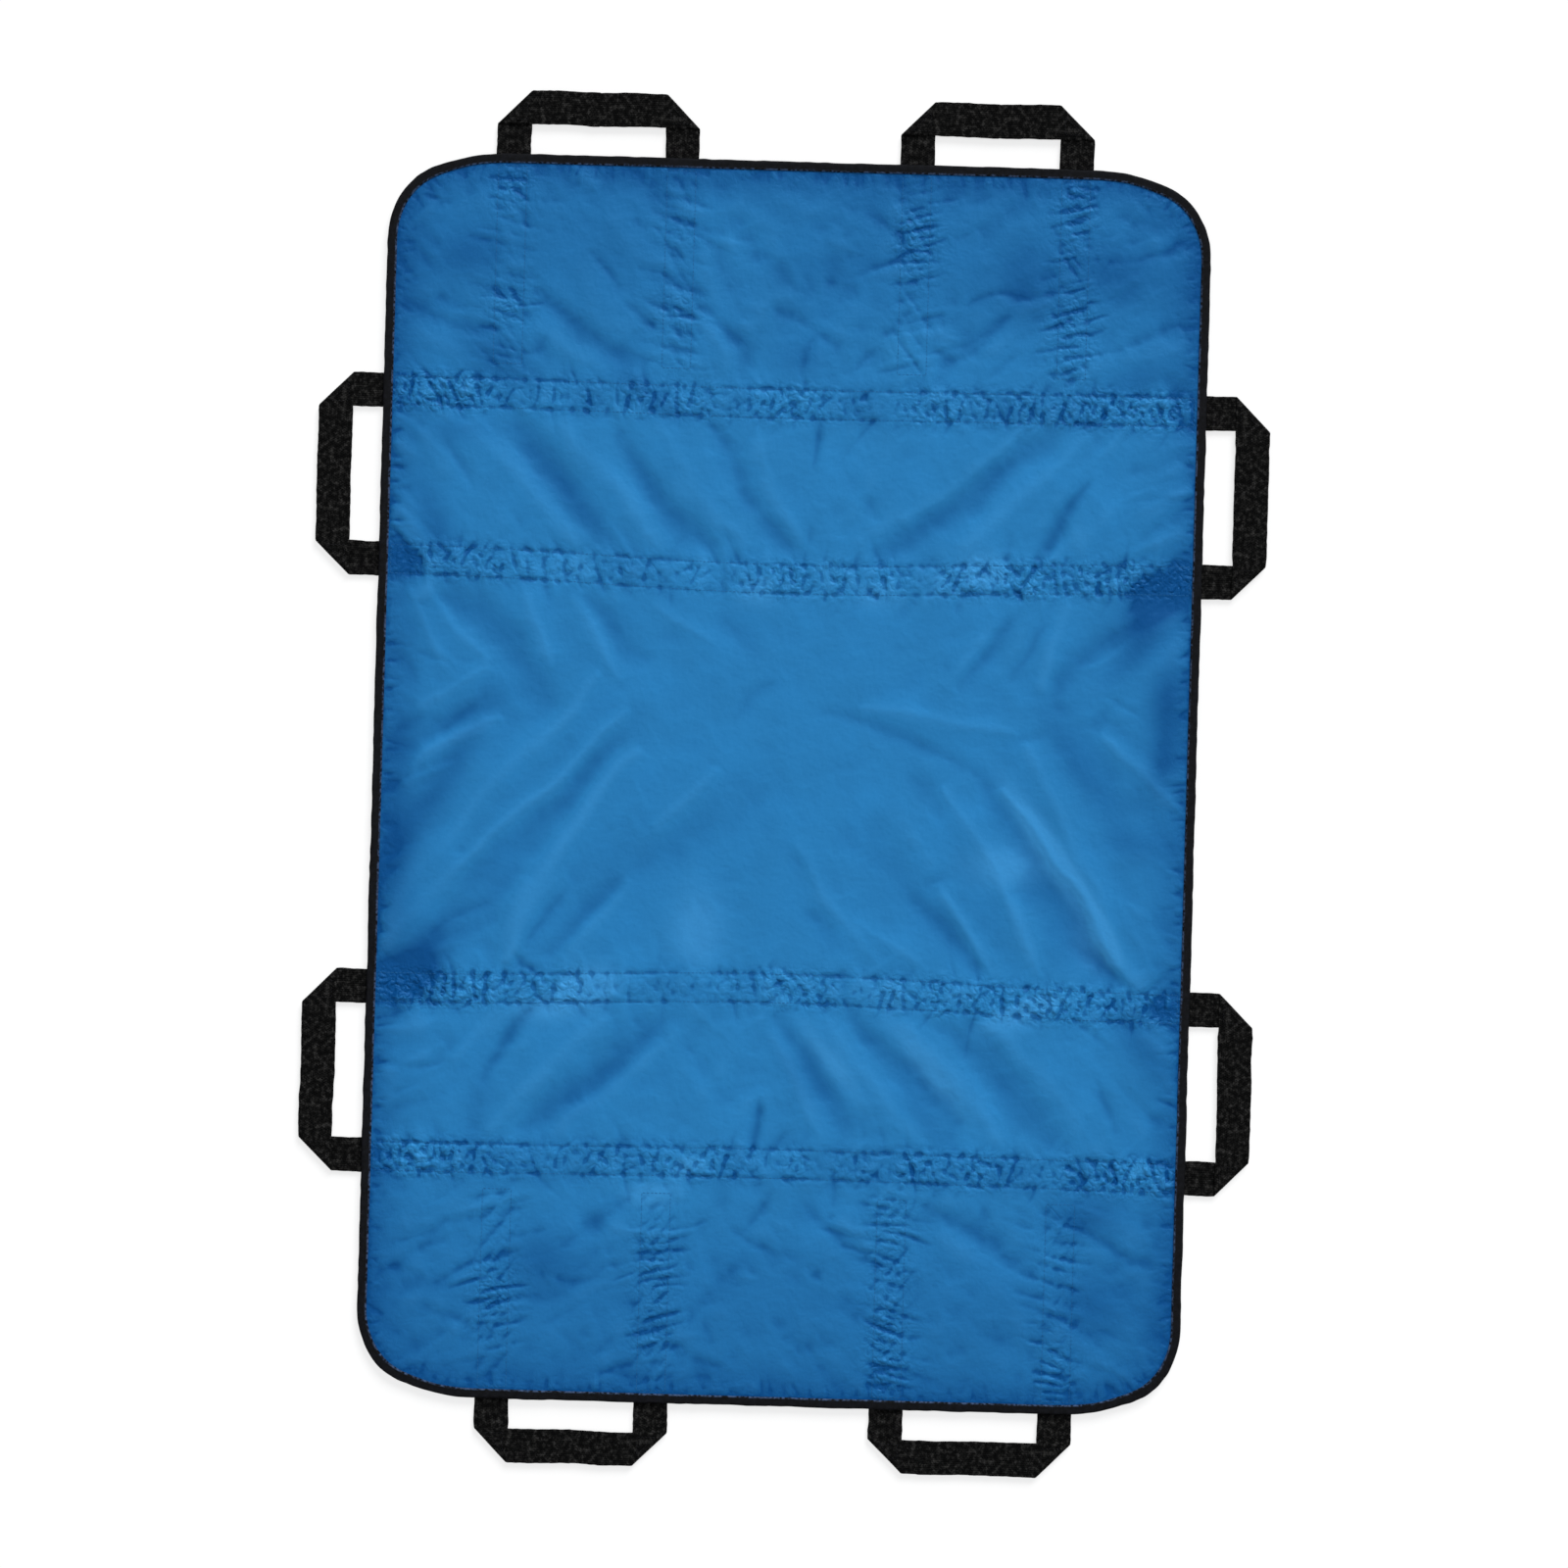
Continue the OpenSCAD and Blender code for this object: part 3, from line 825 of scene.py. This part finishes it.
def make_binding():
    """Tape folded round the edge: its section is swept along the outline and gathered a little."""
    points, outward = outline(0, 2.6)
    _, along = edge_place(*points.T)
    count = len(points)
    ripple = 0.35 * noise(along / 9, 0, 403) + 0.35 * noise(along / 33, 0, 404)
    top = binding_top(along)
    low = RIM_LOW + 0.12 * noise(along / 8, 0, 405)
    middle, radius = (top + low) / 2, (top - low) / 2
    insets = np.linspace(BINDING_W, BINDING_BEND, 5)
    turns = np.linspace(math.pi / 2, -math.pi / 2, 9)[1:-1]
    bend = [(1 - math.cos(a), math.sin(a)) for a in turns]
    ring = [(inset, 1.0, 0.0) for inset in insets]
    ring += [(BINDING_BEND * inset, share, 0.0) for inset, share in bend]
    ring += [(inset, -1.0, 0.0) for inset in insets[::-1]]
    ring += [(inset, -1.0, BINDING_T) for inset in insets]
    inner_bend = BINDING_BEND - BINDING_T
    ring += [(BINDING_T + inner_bend * inset, share, BINDING_T * abs(share)) for inset, share in bend[::-1]]
    ring += [(inset, 1.0, BINDING_T) for inset in insets[::-1]]
    rings, uv = [], []
    distance = np.concatenate([[0], np.cumsum(np.hypot(*np.diff(points, axis=0).T))])
    for inset, share, inward in ring:
        wave = ripple * step(0, 4, BINDING_W - inset + 1)
        flat = points + outward * (wave - inset)[:, None]
        rings.append(np.column_stack([flat, middle + share * (radius - inward)]))
        uv.append(np.column_stack([distance, np.full(count, inset if share > 0 else -inset)]))
    verts = np.stack(rings, 1).reshape(-1, 3)
    verts[:, 1] = slackened(verts[:, 0], verts[:, 1])
    faces = (tube_quads(count, len(ring), closed=True), [])
    piece = new_piece("edge_binding", verts, faces, np.stack(uv, 1).reshape(-1, 2))
    finish_piece(piece, tape(), both_halves("edge_binding"))
    return across_fold(piece)


# ---------------------------------------------------------------- threads

def stitches(places, directions, length=2.9, radius=0.36):
    """Closed little capsules, one for each row of places, each lying along its direction."""
    around, share = 5, 0.8
    d = directions / np.linalg.norm(directions, axis=1, keepdims=True)
    side = np.stack([-d[:, 1], d[:, 0], np.zeros(len(d))], -1)
    side /= np.linalg.norm(side, axis=1, keepdims=True)
    up = np.cross(d, side)
    verts = []
    for along in (-0.42, 0.42):
        for k in range(around):
            a = 2 * math.pi * k / around
            offset = side * (radius * share * math.cos(a)) + up * (radius * share * math.sin(a))
            verts.append(places + d * (length * along) + offset)
    verts = [places + d * (-length / 2)] + verts + [places + d * (length / 2)]
    each = len(verts)
    verts = np.stack(verts, 1).reshape(-1, 3)
    first = each * np.arange(len(places))
    quads, others = [], []
    for k in range(around):
        a, b = 1 + k, 1 + (k + 1) % around
        quads.append(first[:, None] + np.array([a, b, b + around, a + around]))
        others.append(first[:, None] + np.array([0, b, a]))
        others.append(first[:, None] + np.array([each - 1, a + around, b + around]))
    return verts, (np.concatenate(quads), list(np.concatenate(others)))


def along_lines(lines, pitch=4.0):
    """Evenly spaced stitch middles and directions along straight lines given as (x0, y0, x1, y1)."""
    places, directions = [], []
    for x0, y0, x1, y1 in lines:
        length = math.hypot(x1 - x0, y1 - y0)
        count = max(1, round(length / pitch))
        t = (np.arange(count) + 0.5) / count
        places.append(np.stack([x0 + (x1 - x0) * t, y0 + (y1 - y0) * t], -1))
        directions.append(np.tile([(x1 - x0) / length, (y1 - y0) / length], (count, 1)))
    return np.concatenate(places), np.concatenate(directions)


def strap_lines(length, crossed):
    """Thread lines of a strap in its own frame: two rows closed at both ends, and maybe crossed boxes."""
    reach, row = length / 2 - STITCH_END, STITCH_ROW
    lines = [(-reach, row, reach, row), (-reach, -row, reach, -row)]
    for side in (-1, 1):
        a, b = side * reach, side * (reach - 2 * row)
        lines += [(a, -row, a, row)]
        lines += [(b, -row, b, row), (a, -row, b, row), (a, row, b, -row)] if crossed else []
    return lines


def pad_stitch_plan(crossed):
    """Middles and directions of every stitch that holds a strap or a tail to the pad."""
    places, directions = [], []
    for middle_y in STRAP_Y.values():
        p, d = along_lines(strap_lines(2 * HALF_W, crossed))
        p[:, 1] += strap_line(p[:, 0], middle_y)
        places.append(p)
        directions.append(d)
    for *_, middle_x, near, far in TAILS:
        p, d = along_lines(strap_lines(abs(far - near), crossed))
        places.append(p[:, ::-1] + [middle_x, (near + far) / 2])
        directions.append(d[:, ::-1])
    return np.concatenate(places), np.concatenate(directions)


def on_surface(places, directions, height):
    """Stitch middles and directions laid on a height function."""
    x, y = places.T
    ahead = places + directions * 1.2
    behind = places - directions * 1.2
    rise = (height(*ahead.T) - height(*behind.T)) / 2.4
    return np.column_stack([x, y, height(x, y)]), np.column_stack([directions, rise])


def face_at(x, y):
    return sample(FACE, x, y) + 0.05


def make_stitching():
    plan, directions = pad_stitch_plan(crossed=False)
    places, slopes = on_surface(plan, directions, face_at)
    add_threads("face_strap_threads", places, slopes, "blue_thread")
    plan, directions = pad_stitch_plan(crossed=True)
    below = np.column_stack([plan, np.full(len(plan), 0.12)])
    flat = np.column_stack([directions, np.zeros(len(plan))])
    add_threads("underside_strap_threads", below, flat, "black_thread")


def add_threads(name, places, directions, slot):
    """One piece of thread for each half of the pad."""
    for half, sign in (("head", 1), ("foot", -1)):
        mine = np.sign(places[:, 1]) == sign
        piece = new_piece(half + "_" + name, *stitches(places[mine], directions[mine]))
        finish_piece(piece, thread(slot), [half + "_strap_stitching"])
        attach(piece, half + "_half")


def make_binding_stitching():
    points, outward = outline(BINDING_STITCH, 3.8)
    _, along = edge_place(*points.T)
    tangent = np.column_stack([-outward[:, 1], outward[:, 0], np.zeros(len(points))])
    points[:, 1] = slackened(*points.T)
    top = np.column_stack([points, binding_top(along) + 0.02])
    low = np.column_stack([points, np.full(len(points), RIM_LOW - 0.02)])
    verts, faces = stitches(np.concatenate([top, low]), np.concatenate([tangent, tangent]), 2.7, 0.34)
    piece = new_piece("binding_stitching", verts, faces)
    finish_piece(piece, thread("black_thread"), both_halves("binding_stitching"))
    return across_fold(piece)


# ---------------------------------------------------------------- webbing

WEB_RIBS = 16
WEB_VISIBLE_T = WEB_T - 0.2
STRAP_CELL = 5
HANDLE_CELL = 1.6
# Where a handle's bend starts and ends, outwards from its hinge; make_handles works out these points but
# doesn't use them
HANDLE_BEND = (0.5, 11)


def web_section():
    """Closed section of the webbing as (across, height) points: ribbed faces and round edges."""
    half, t = WEB_W / 2, WEB_VISIBLE_T / 2
    steps = 2 * WEB_RIBS + 1
    across = np.linspace(-half + t, half - t, steps)
    rib = np.where(np.arange(steps) % 2 == 0, 0.0, 0.09)
    top = np.column_stack([across, t - rib])
    turns = (0.9, math.pi / 2, math.pi - 0.9)
    edge = np.array([(half - t + t * math.sin(a), t * math.cos(a)) for a in turns])
    low = np.column_stack([across[::-1], -t + rib])
    return np.concatenate([top, edge, low, edge[::-1] * [-1, 1]])


def webbing(name, stations, place):
    """A length of webbing: stations(v) gives distances along it, and place(u, v, h) puts it in space."""
    section = web_section()
    v = section[:, 0]
    u = stations(v)
    count = len(u)
    verts = place(u.ravel(), np.tile(v, count), np.tile(section[:, 1], count))
    around = len(section)
    caps = [list(range(around))[::-1], list(range((count - 1) * around, count * around))]
    uv = np.column_stack([u.ravel(), np.tile(v, count)])
    return new_piece(name, verts, (tube_quads(count, around), caps), uv)


def straight(start, end, cell):
    """Stations straight across the webbing."""
    count = max(2, round(abs(end - start) / cell) + 1)
    return lambda v: np.repeat(np.linspace(start, end, count)[:, None], len(v), 1)


def make_cross_straps():
    for node, middle_y in STRAP_Y.items():
        def place(u, v, h):
            lift = 0.12 * noise(u / 17, v / 40, 501) * step(-1, 1, h)
            return np.column_stack([u, strap_line(u, middle_y) + v, WEB_T / 2 + h + np.minimum(lift, 0.1)])
        reach = HALF_W - STUB
        name = node.replace("cross_strap", "cross_webbing")
        piece = webbing(name, straight(-reach, reach, STRAP_CELL), place)
        finish_piece(piece, web_material(), [node])
        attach(piece, node[:4] + "_half")


def make_tails():
    for half, side, middle_x, near, far in TAILS:
        def place(u, v, h):
            return np.column_stack([middle_x + v, u, WEB_T / 2 + h])
        low, high = sorted((near + np.sign(near) * 0.3, far - np.sign(far) * STUB))
        row = "inner" if abs(middle_x) < 200 else "outer"
        piece = webbing(f"{half}_{side}_tail_{row}", straight(low, high, STRAP_CELL), place)
        finish_piece(piece, web_material(), [half + "_" + side + "_end_tails"])
        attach(piece, half + "_half")


def handle_frame(handle):
    """Hinge point, direction along the edge, direction outwards, clear opening, and distance to the fold."""
    low, high = box_mm(handle)
    pivot = np.array(JOINTS[handle]["pos_m"]) / MM
    half, side, edge = handle.split("_")[:3]
    if edge == "end":
        wide, deep = 0, 1
        legs = [tail[2] for tail in TAILS if tail[:2] == (half, side)]
    else:
        wide, deep = 1, 0
        legs = [y for node, y in STRAP_Y.items() if node.startswith(half)]
    outward, along = np.zeros(3), np.zeros(3)
    outward[deep] = np.sign(pivot[deep])
    along[wide] = 1.0
    opening = abs(legs[1] - legs[0]) - WEB_W
    bulge = (high[wide] - low[wide] - opening) / 2 - WEB_W
    tip = max(abs(high[deep]), abs(low[deep])) - abs(pivot[deep])
    return pivot, along, outward, opening, tip - bulge - WEB_W


def handle_place(handle, seed):
    """Puts flat webbing (u along, v across, h thickness) on a handle: leg, fold, grip, fold and leg."""
    pivot, along, outward, opening, fold_at = handle_frame(handle)
    inner, radius = opening / 2, WEB_T / 2
    crease = fold_at + WEB_W / 2
    total = 2 * crease + opening + WEB_W
    half_turn = math.pi * radius / 2

    def place(u, v, h):
        first = u < total / 2
        side = np.where(first, 1.0, -1.0)
        u = np.where(first, u, total - u)
        v = v * (1 + 0.018 * noise(u / 11, side, seed + 3) + 0.012 * noise(u / 4.2, side, seed + 4))
        q = (u - (crease - v)) / math.sqrt(2)
        angle = np.clip(q / radius + math.pi / 2, 0, math.pi)
        out = np.where(q < -half_turn, q + half_turn, np.where(q > half_turn, half_turn - q, 0))
        out = out + radius * np.sin(angle) - h * np.sin(angle)
        up = radius * (1 - np.cos(angle)) + h * np.cos(angle)
        m = (v - (u - crease)) / math.sqrt(2)
        s = inner + WEB_W / 2 + (m + out - half_turn) / math.sqrt(2)
        t = crease + (out - m - half_turn) / math.sqrt(2)
        grip = step(6, 30, q)
        t = t + grip * 0.9 * noise(s * side / 45, 0, seed)
        s = s + step(6, 25, t) * (1 - grip) * 0.5 * noise(t / 30, side, seed + 1)
        up = up + grip * 0.25 * noise(s * side / 25, v / 30, seed + 2)
        flat = pivot[:2] + (side * s)[:, None] * along[:2] + t[:, None] * outward[:2]
        return np.column_stack([flat, WEB_T / 2 + up])
    return place, crease, total


def handle_stations(crease, total, cell):
    """Stations that lean to lie along each diagonal crease and are straight elsewhere."""
    straight_until = crease - WEB_W / 2 - 8
    start = -STUB
    leg = np.linspace(start, straight_until, max(2, round((straight_until - start) / cell)))
    near = np.linspace(straight_until, total / 2, max(2, round((total / 2 - straight_until) / cell)))[1:]

    def stations(v):
        rows = [np.full(len(v), u) for u in leg]
        for u in near:
            lean = step(straight_until, crease - 3, u) * (1 - step(crease + 3, total / 2 - 4, u))
            rows.append(u - lean * v)
        rows = np.array(rows)
        mirrored = total - rows[:-1][::-1]
        return np.concatenate([rows, mirrored])
    return stations


def make_handles():
    for n, handle in enumerate(HANDLES):
        place, crease, total = handle_place(handle, 600 + 10 * n)
        stations = handle_stations(crease, total, HANDLE_CELL)
        piece = webbing(handle.replace("handle", "handle_loop"), stations, place)
        finish_piece(piece, web_material(), [handle])
        pivot, along, outward, opening, fold_at = handle_frame(handle)
        start, end = (tuple((pivot + outward * reach) * MM) for reach in HANDLE_BEND)
        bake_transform(piece)
        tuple(start)
        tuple(end)
        make_tacks(handle, pivot, along, outward, opening, fold_at)


def make_tacks(handle, pivot, along, outward, opening, fold_at):
    """A triangle of stitches that holds each folded corner flat."""
    radius = WEB_W / (2 + math.sqrt(2))
    shrink = (radius - 5) / radius
    places, directions = [], []
    for side in (-1, 1):
        corner = np.array([opening / 2, fold_at])
        middle = corner + radius
        tips = [corner, corner + [WEB_W, 0], corner + [0, WEB_W]]
        tips = [middle + shrink * (tip - middle) for tip in tips]
        lines = [(*tips[k], *tips[(k + 1) % 3]) for k in range(3)]
        p, d = along_lines(lines, 3.8)
        for flat, out in ((p, places), (d, directions)):
            out.append((side * flat[:, :1]) * along + flat[:, 1:] * outward)
    places = np.concatenate(places) + pivot
    places[:, 2] = 2 * WEB_T + 0.1
    piece = new_piece(handle + "_corner_threads", *stitches(places, np.concatenate(directions), 2.8))
    finish_piece(piece, thread("black_thread"), [handle + "_tacks"])
    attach(piece, handle)


# ---------------------------------------------------------------- materials

FACE_BLUE = (0.0172, 0.1735, 0.419)
BACK_BLUE = (0.010, 0.120, 0.330)
THREADS = {"blue_thread": (0.009, 0.095, 0.250), "black_thread": (0.006, 0.006, 0.008)}


class Look:
    """A material and short ways to add nodes to it."""

    def __init__(self, name, roughness, specular=0.5):
        self.material = bpy.data.materials.new(name)
        self.material.use_nodes = True
        self.tree = self.material.node_tree
        self.shader = self.tree.nodes["Principled BSDF"]
        self.shader.inputs["Roughness"].default_value = roughness
        self.shader.inputs["Specular IOR Level"].default_value = specular

    def node(self, kind, inputs=None, **settings):
        made = self.tree.nodes.new("ShaderNode" + kind)
        for key, value in settings.items():
            setattr(made, key, value)
        for key, value in (inputs or {}).items():
            if isinstance(value, bpy.types.NodeSocket):
                self.tree.links.new(value, made.inputs[key])
            else:
                made.inputs[key].default_value = value
        return made

    def math(self, operation, a, b=0.0):
        return self.node("Math", {0: a, 1: b}, operation=operation).outputs[0]

    def uv(self):
        """Distances in metres along the cloth, as two sockets."""
        split = self.node("SeparateXYZ", {0: self.node("UVMap", uv_map="Cloth").outputs[0]})
        return split.outputs[0], split.outputs[1]

    def wave(self, distance, period):
        """Sine of a distance in metres, with a period in millimetres."""
        return self.math("SINE", self.math("MULTIPLY", distance, 2 * math.pi / (period * MM)))

    def noise(self, size, detail=3.0, vector=None):
        """Noise with features of a size in millimetres."""
        vector = vector or self.node("UVMap", uv_map="Cloth").outputs[0]
        inputs = {"Vector": vector, "Scale": 1 / (size * MM), "Detail": detail}
        return self.node("TexNoise", inputs).outputs[0]

    def stored(self, name):
        """A number that store() kept on the mesh."""
        return self.node("Attribute", attribute_name=name).outputs["Fac"]

    def run(self, value, low, high, start=0.0, end=1.0):
        """Runs from start, where the value is low, to end, where it's high, and no further."""
        return self.node("MapRange", {0: value, 1: low, 2: high, 3: start, 4: end}).outputs[0]

    def mix(self, factor, first, second):
        return self.node("MixRGB", {"Fac": factor, "Color1": first, "Color2": second}).outputs[0]

    def ramp(self, factor, stops):
        made = self.node("ValToRGB", {0: factor})
        elements = made.color_ramp.elements
        while len(elements) < len(stops):
            elements.new(0.5)
        for element, (place, colour) in zip(elements, stops):
            element.position = place
            element.color = (*colour, 1)
        return made.outputs[0]

    def bump(self, height, depth, below=None):
        """A bump that is depth millimetres deep."""
        inputs = {"Height": height, "Distance": depth * MM, "Strength": 1.0}
        if below is not None:
            inputs["Normal"] = below
        return self.node("Bump", inputs).outputs[0]

    def use(self, **inputs):
        for key, value in inputs.items():
            socket = self.shader.inputs[key.replace("_", " ")]
            if isinstance(value, bpy.types.NodeSocket):
                self.tree.links.new(value, socket)
            else:
                socket.default_value = value
        return self.material


def shade(colour, by):
    return tuple(min(1.0, c * by) for c in colour)


@cache
def nylon(name, blue):
    """Dyed nylon, with painted shade in its hollows, creases and patches and painted highlights on crests;
    its shine takes the dye's colour.
    """
    look = Look(name, 0.48, 0.5)
    u, v = look.uv()
    tone = look.ramp(look.noise(60, 4), ((0.3, shade(blue, 0.93)), (0.55, blue), (0.75, shade(blue, 1.08))))
    # Painted shade: darker where the cloth lies low or is creased, in hollows, and in the painted shade
    # patches
    painted_valley_shade = look.math("ADD", look.run(look.stored("depth"), -0.4, 3.4, end=0.5),
                          look.run(look.stored("crease"), 0.02, 0.30, end=0.6))
    shadowed = look.math("ADD", look.run(look.stored("hollow"), 0.0, 1.3, end=0.5),
                         look.run(look.stored("margin"), 0.0, 1.3, end=1.3))
    painted_shade_share = look.math("ADD", painted_valley_shade, shadowed)
    painted_shade_share = look.math("MINIMUM", look.math("MULTIPLY", painted_shade_share, 0.83), 1.0)
    # The colour of the painted shade
    dark = (0.0, blue[1] * 0.30, blue[2] * 0.48, 1)
    # Painted highlight: paler on crests and in the painted light patches, toward the pale colour below
    painted_crest_highlight = look.run(look.stored("hollow"), -0.15, -1.1, end=0.8)
    sheen = look.math("MULTIPLY", look.stored("sheen"), 4.0)
    painted_highlight_share = look.math("MINIMUM", look.math("ADD", painted_crest_highlight, sheen), 1.0)
    pale = (blue[0] * 1.9, blue[1] * 1.3, blue[2] * 1.22, 1)
    colour = look.mix(painted_shade_share, look.mix(painted_highlight_share, tone, pale), dark)
    weave = look.math("MULTIPLY", look.wave(u, 0.55), look.wave(v, 0.55))
    bump = look.bump(weave, 0.02)
    bump = look.bump(look.noise(7, 4), 0.5, bump)
    lumps = look.math("ABSOLUTE", look.math("SUBTRACT", look.noise(9, 1.5), 0.5))
    bump = look.bump(look.math("MULTIPLY", lumps, look.stored("crumpled")), 4.0, bump)
    rough = look.run(look.noise(30, 3), 0.0, 1.0, 0.40, 0.56)
    return look.use(Base_Color=colour, Normal=bump, Roughness=rough, Specular_Tint=(0.15, 0.53, 1.0, 1.0))


@cache
def web_material():
    """Coarse black webbing with a ribbed weave."""
    look = Look("black_webbing", 0.85, 0.07)
    u, v = look.uv()
    rib = look.wave(v, WEB_W / WEB_RIBS)
    parity = look.math("SIGN", look.wave(v, 2 * WEB_W / WEB_RIBS))
    slant = look.math("ADD", u, look.math("MULTIPLY", parity, 0.00065))
    pick = look.wave(slant, 2.6)
    height = look.math("MULTIPLY", look.math("ADD", rib, 1.4), look.math("ADD", pick, 1.4))
    broad = look.math("MULTIPLY", look.noise(5.5, 1), 0.6)
    fine = look.math("MULTIPLY", look.noise(2.0, 2), 0.4)
    colour = look.ramp(look.math("ADD", broad, fine), (
        (0.40, (0.0006, 0.0006, 0.0007)), (0.49, (0.0026, 0.0026, 0.0026)),
        (0.57, (0.0105, 0.0103, 0.0100)), (0.66, (0.0260, 0.0255, 0.0248)),
    ))
    bump = look.bump(height, 0.10)
    bump = look.bump(look.noise(1.0, 2), 0.12, bump)
    return look.use(Base_Color=colour, Normal=bump)


@cache
def tape():
    """Narrow black binding tape with a little paler, speckled painted highlight along its inner edge."""
    look = Look("binding_tape", 0.75, 0.12)
    u, v = look.uv()
    colour = look.ramp(look.noise(5, 3), ((0.35, (0.0010, 0.0013, 0.0020)), (0.7, (0.0040, 0.0045, 0.0070))))
    # Painted highlight: a paler, speckled line along the tape's inner edge
    inner = look.run(v, 7.6 * MM, 9.0 * MM)
    highlight_speckle = look.run(look.noise(3.5, 3), 0.42, 0.62)
    colour = look.mix(look.math("MULTIPLY", inner, highlight_speckle), colour, (0.045, 0.080, 0.160, 1))
    bump = look.bump(look.wave(u, 1.1), 0.05)
    return look.use(Base_Color=colour, Normal=look.bump(look.noise(3, 2), 0.15, bump))


@cache
def thread(name):
    colour = THREADS[name]
    look = Look(name, 0.6, 0.15)
    vector = look.node("TexCoord").outputs["Object"]
    fibres = look.noise(0.35, 2, vector)
    tone = look.ramp(fibres, ((0.3, shade(colour, 0.6)), (0.7, shade(colour, 1.5))))
    return look.use(Base_Color=tone, Normal=look.bump(fibres, 0.08))


@cache
def felt():
    look = Look("soaker_felt", 0.95, 0.2)
    tone = look.ramp(look.noise(3, 6), ((0.3, (0.72, 0.73, 0.72)), (0.7, (0.88, 0.89, 0.88))))
    return look.use(Base_Color=tone, Normal=look.bump(look.noise(1.2, 5), 0.4))


@cache
def film():
    look = Look("barrier_film", 0.35)
    tone = look.ramp(look.noise(25, 3), ((0.3, (0.60, 0.65, 0.70)), (0.7, (0.72, 0.76, 0.80))))
    return look.use(Base_Color=tone, Normal=look.bump(look.noise(14, 3), 0.3))


# ---------------------------------------------------------------- stage

FRAME_WIDTH = 1646
LENS = 120
SENSOR = 36
CAMERA_TURN = math.radians(1.65)
FLOOR_SIZE = 12000
FLOOR_GLOW = 0.72
FLOOR_GAP = 4


def floor_material():
    """Pale floor that is seen from above only, so that a view from below shows the pad's underside."""
    look = Look("pale_floor", 0.9, 0.1)
    tone = look.ramp(look.noise(900, 2, look.node("TexCoord").outputs["Object"]),
                     ((0.3, (0.27, 0.27, 0.27)), (0.7, (0.29, 0.29, 0.29))))
    look.use(Base_Color=tone, Emission_Color=(1.0, 1.0, 1.0, 1.0), Emission_Strength=FLOOR_GLOW)
    clear = look.node("BsdfTransparent").outputs[0]
    below = look.node("NewGeometry").outputs["Backfacing"]
    mix = look.node("MixShader", {0: below, 1: look.shader.outputs[0], 2: clear})
    look.tree.links.new(mix.outputs[0], look.tree.nodes["Material Output"].inputs["Surface"])
    return look.material


def make_floor():
    """The floor stays under the lowest handle, so a handle that hangs down isn't buried in it."""
    half = FLOOR_SIZE / 2
    corners = [(-half, -half, 0), (half, -half, 0), (half, half, 0), (-half, half, 0)]
    floor = new_piece("floor", corners, (np.array([[0, 1, 2, 3]]), []))
    floor.data.materials.append(floor_material())
    driver = floor.driver_add("location", 2).driver
    names = []
    for n, handle in enumerate(HANDLES):
        pivot, _, outward, _, fold_at = handle_frame(handle)
        tip = bpy.data.objects.new(handle + "_tip", None)
        tip.location = Vector((pivot + outward * (fold_at + WEB_W)) * MM)
        bpy.context.scene.collection.objects.link(tip)
        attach(tip, handle)
        variable = driver.variables.new()
        variable.name = "h" + str(n)
        variable.type = "TRANSFORMS"
        variable.targets[0].id = tip
        variable.targets[0].transform_type = "LOC_Z"
        variable.targets[0].transform_space = "WORLD_SPACE"
        names.append(variable.name)
    driver.type = "SCRIPTED"
    driver.expression = "min(0, " + ", ".join(f"{name} - {FLOOR_GAP * MM}" for name in names) + ")"


def make_light():
    scene = bpy.context.scene
    scene.view_settings.view_transform = "Standard"
    world = bpy.data.worlds.new("studio")
    world.use_nodes = True
    world.node_tree.nodes["Background"].inputs["Color"].default_value = (0.95, 0.97, 1.0, 1)
    world.node_tree.nodes["Background"].inputs["Strength"].default_value = 0.32
    scene.world = world
    for name, direction, strength, softness in (("key", (0.30, 0.78, 0.56), 3.3, 32),
                                                ("front", (-0.1, -0.1, 1.0), 0.55, 30)):
        lamp = bpy.data.lights.new(name, "SUN")
        lamp.energy = strength
        lamp.angle = math.radians(softness)
        sun = bpy.data.objects.new(name, lamp)
        sun.rotation_mode = "QUATERNION"
        sun.rotation_quaternion = Vector(direction).to_track_quat("Z", "Y")
        scene.collection.objects.link(sun)


def make_camera():
    """Straight above the pad, turned so that the pad leans a little clockwise in the picture."""
    camera = bpy.data.objects.new("camera", bpy.data.cameras.new("camera"))
    camera.data.lens = LENS
    camera.data.sensor_width = SENSOR
    distance = FRAME_WIDTH * LENS / SENSOR
    camera.location = (0, 0, distance * MM)
    camera.rotation_euler = (0, 0, CAMERA_TURN)
    camera.data.clip_end = 100
    bpy.context.scene.collection.objects.link(camera)
    bpy.context.scene.camera = camera


# ---------------------------------------------------------------- build

make_face_sheet()
make_back_sheet()
make_filling()
make_binding()
make_binding_stitching()
make_cross_straps()
make_tails()
make_handles()
make_stitching()
make_floor()
make_light()
make_camera()
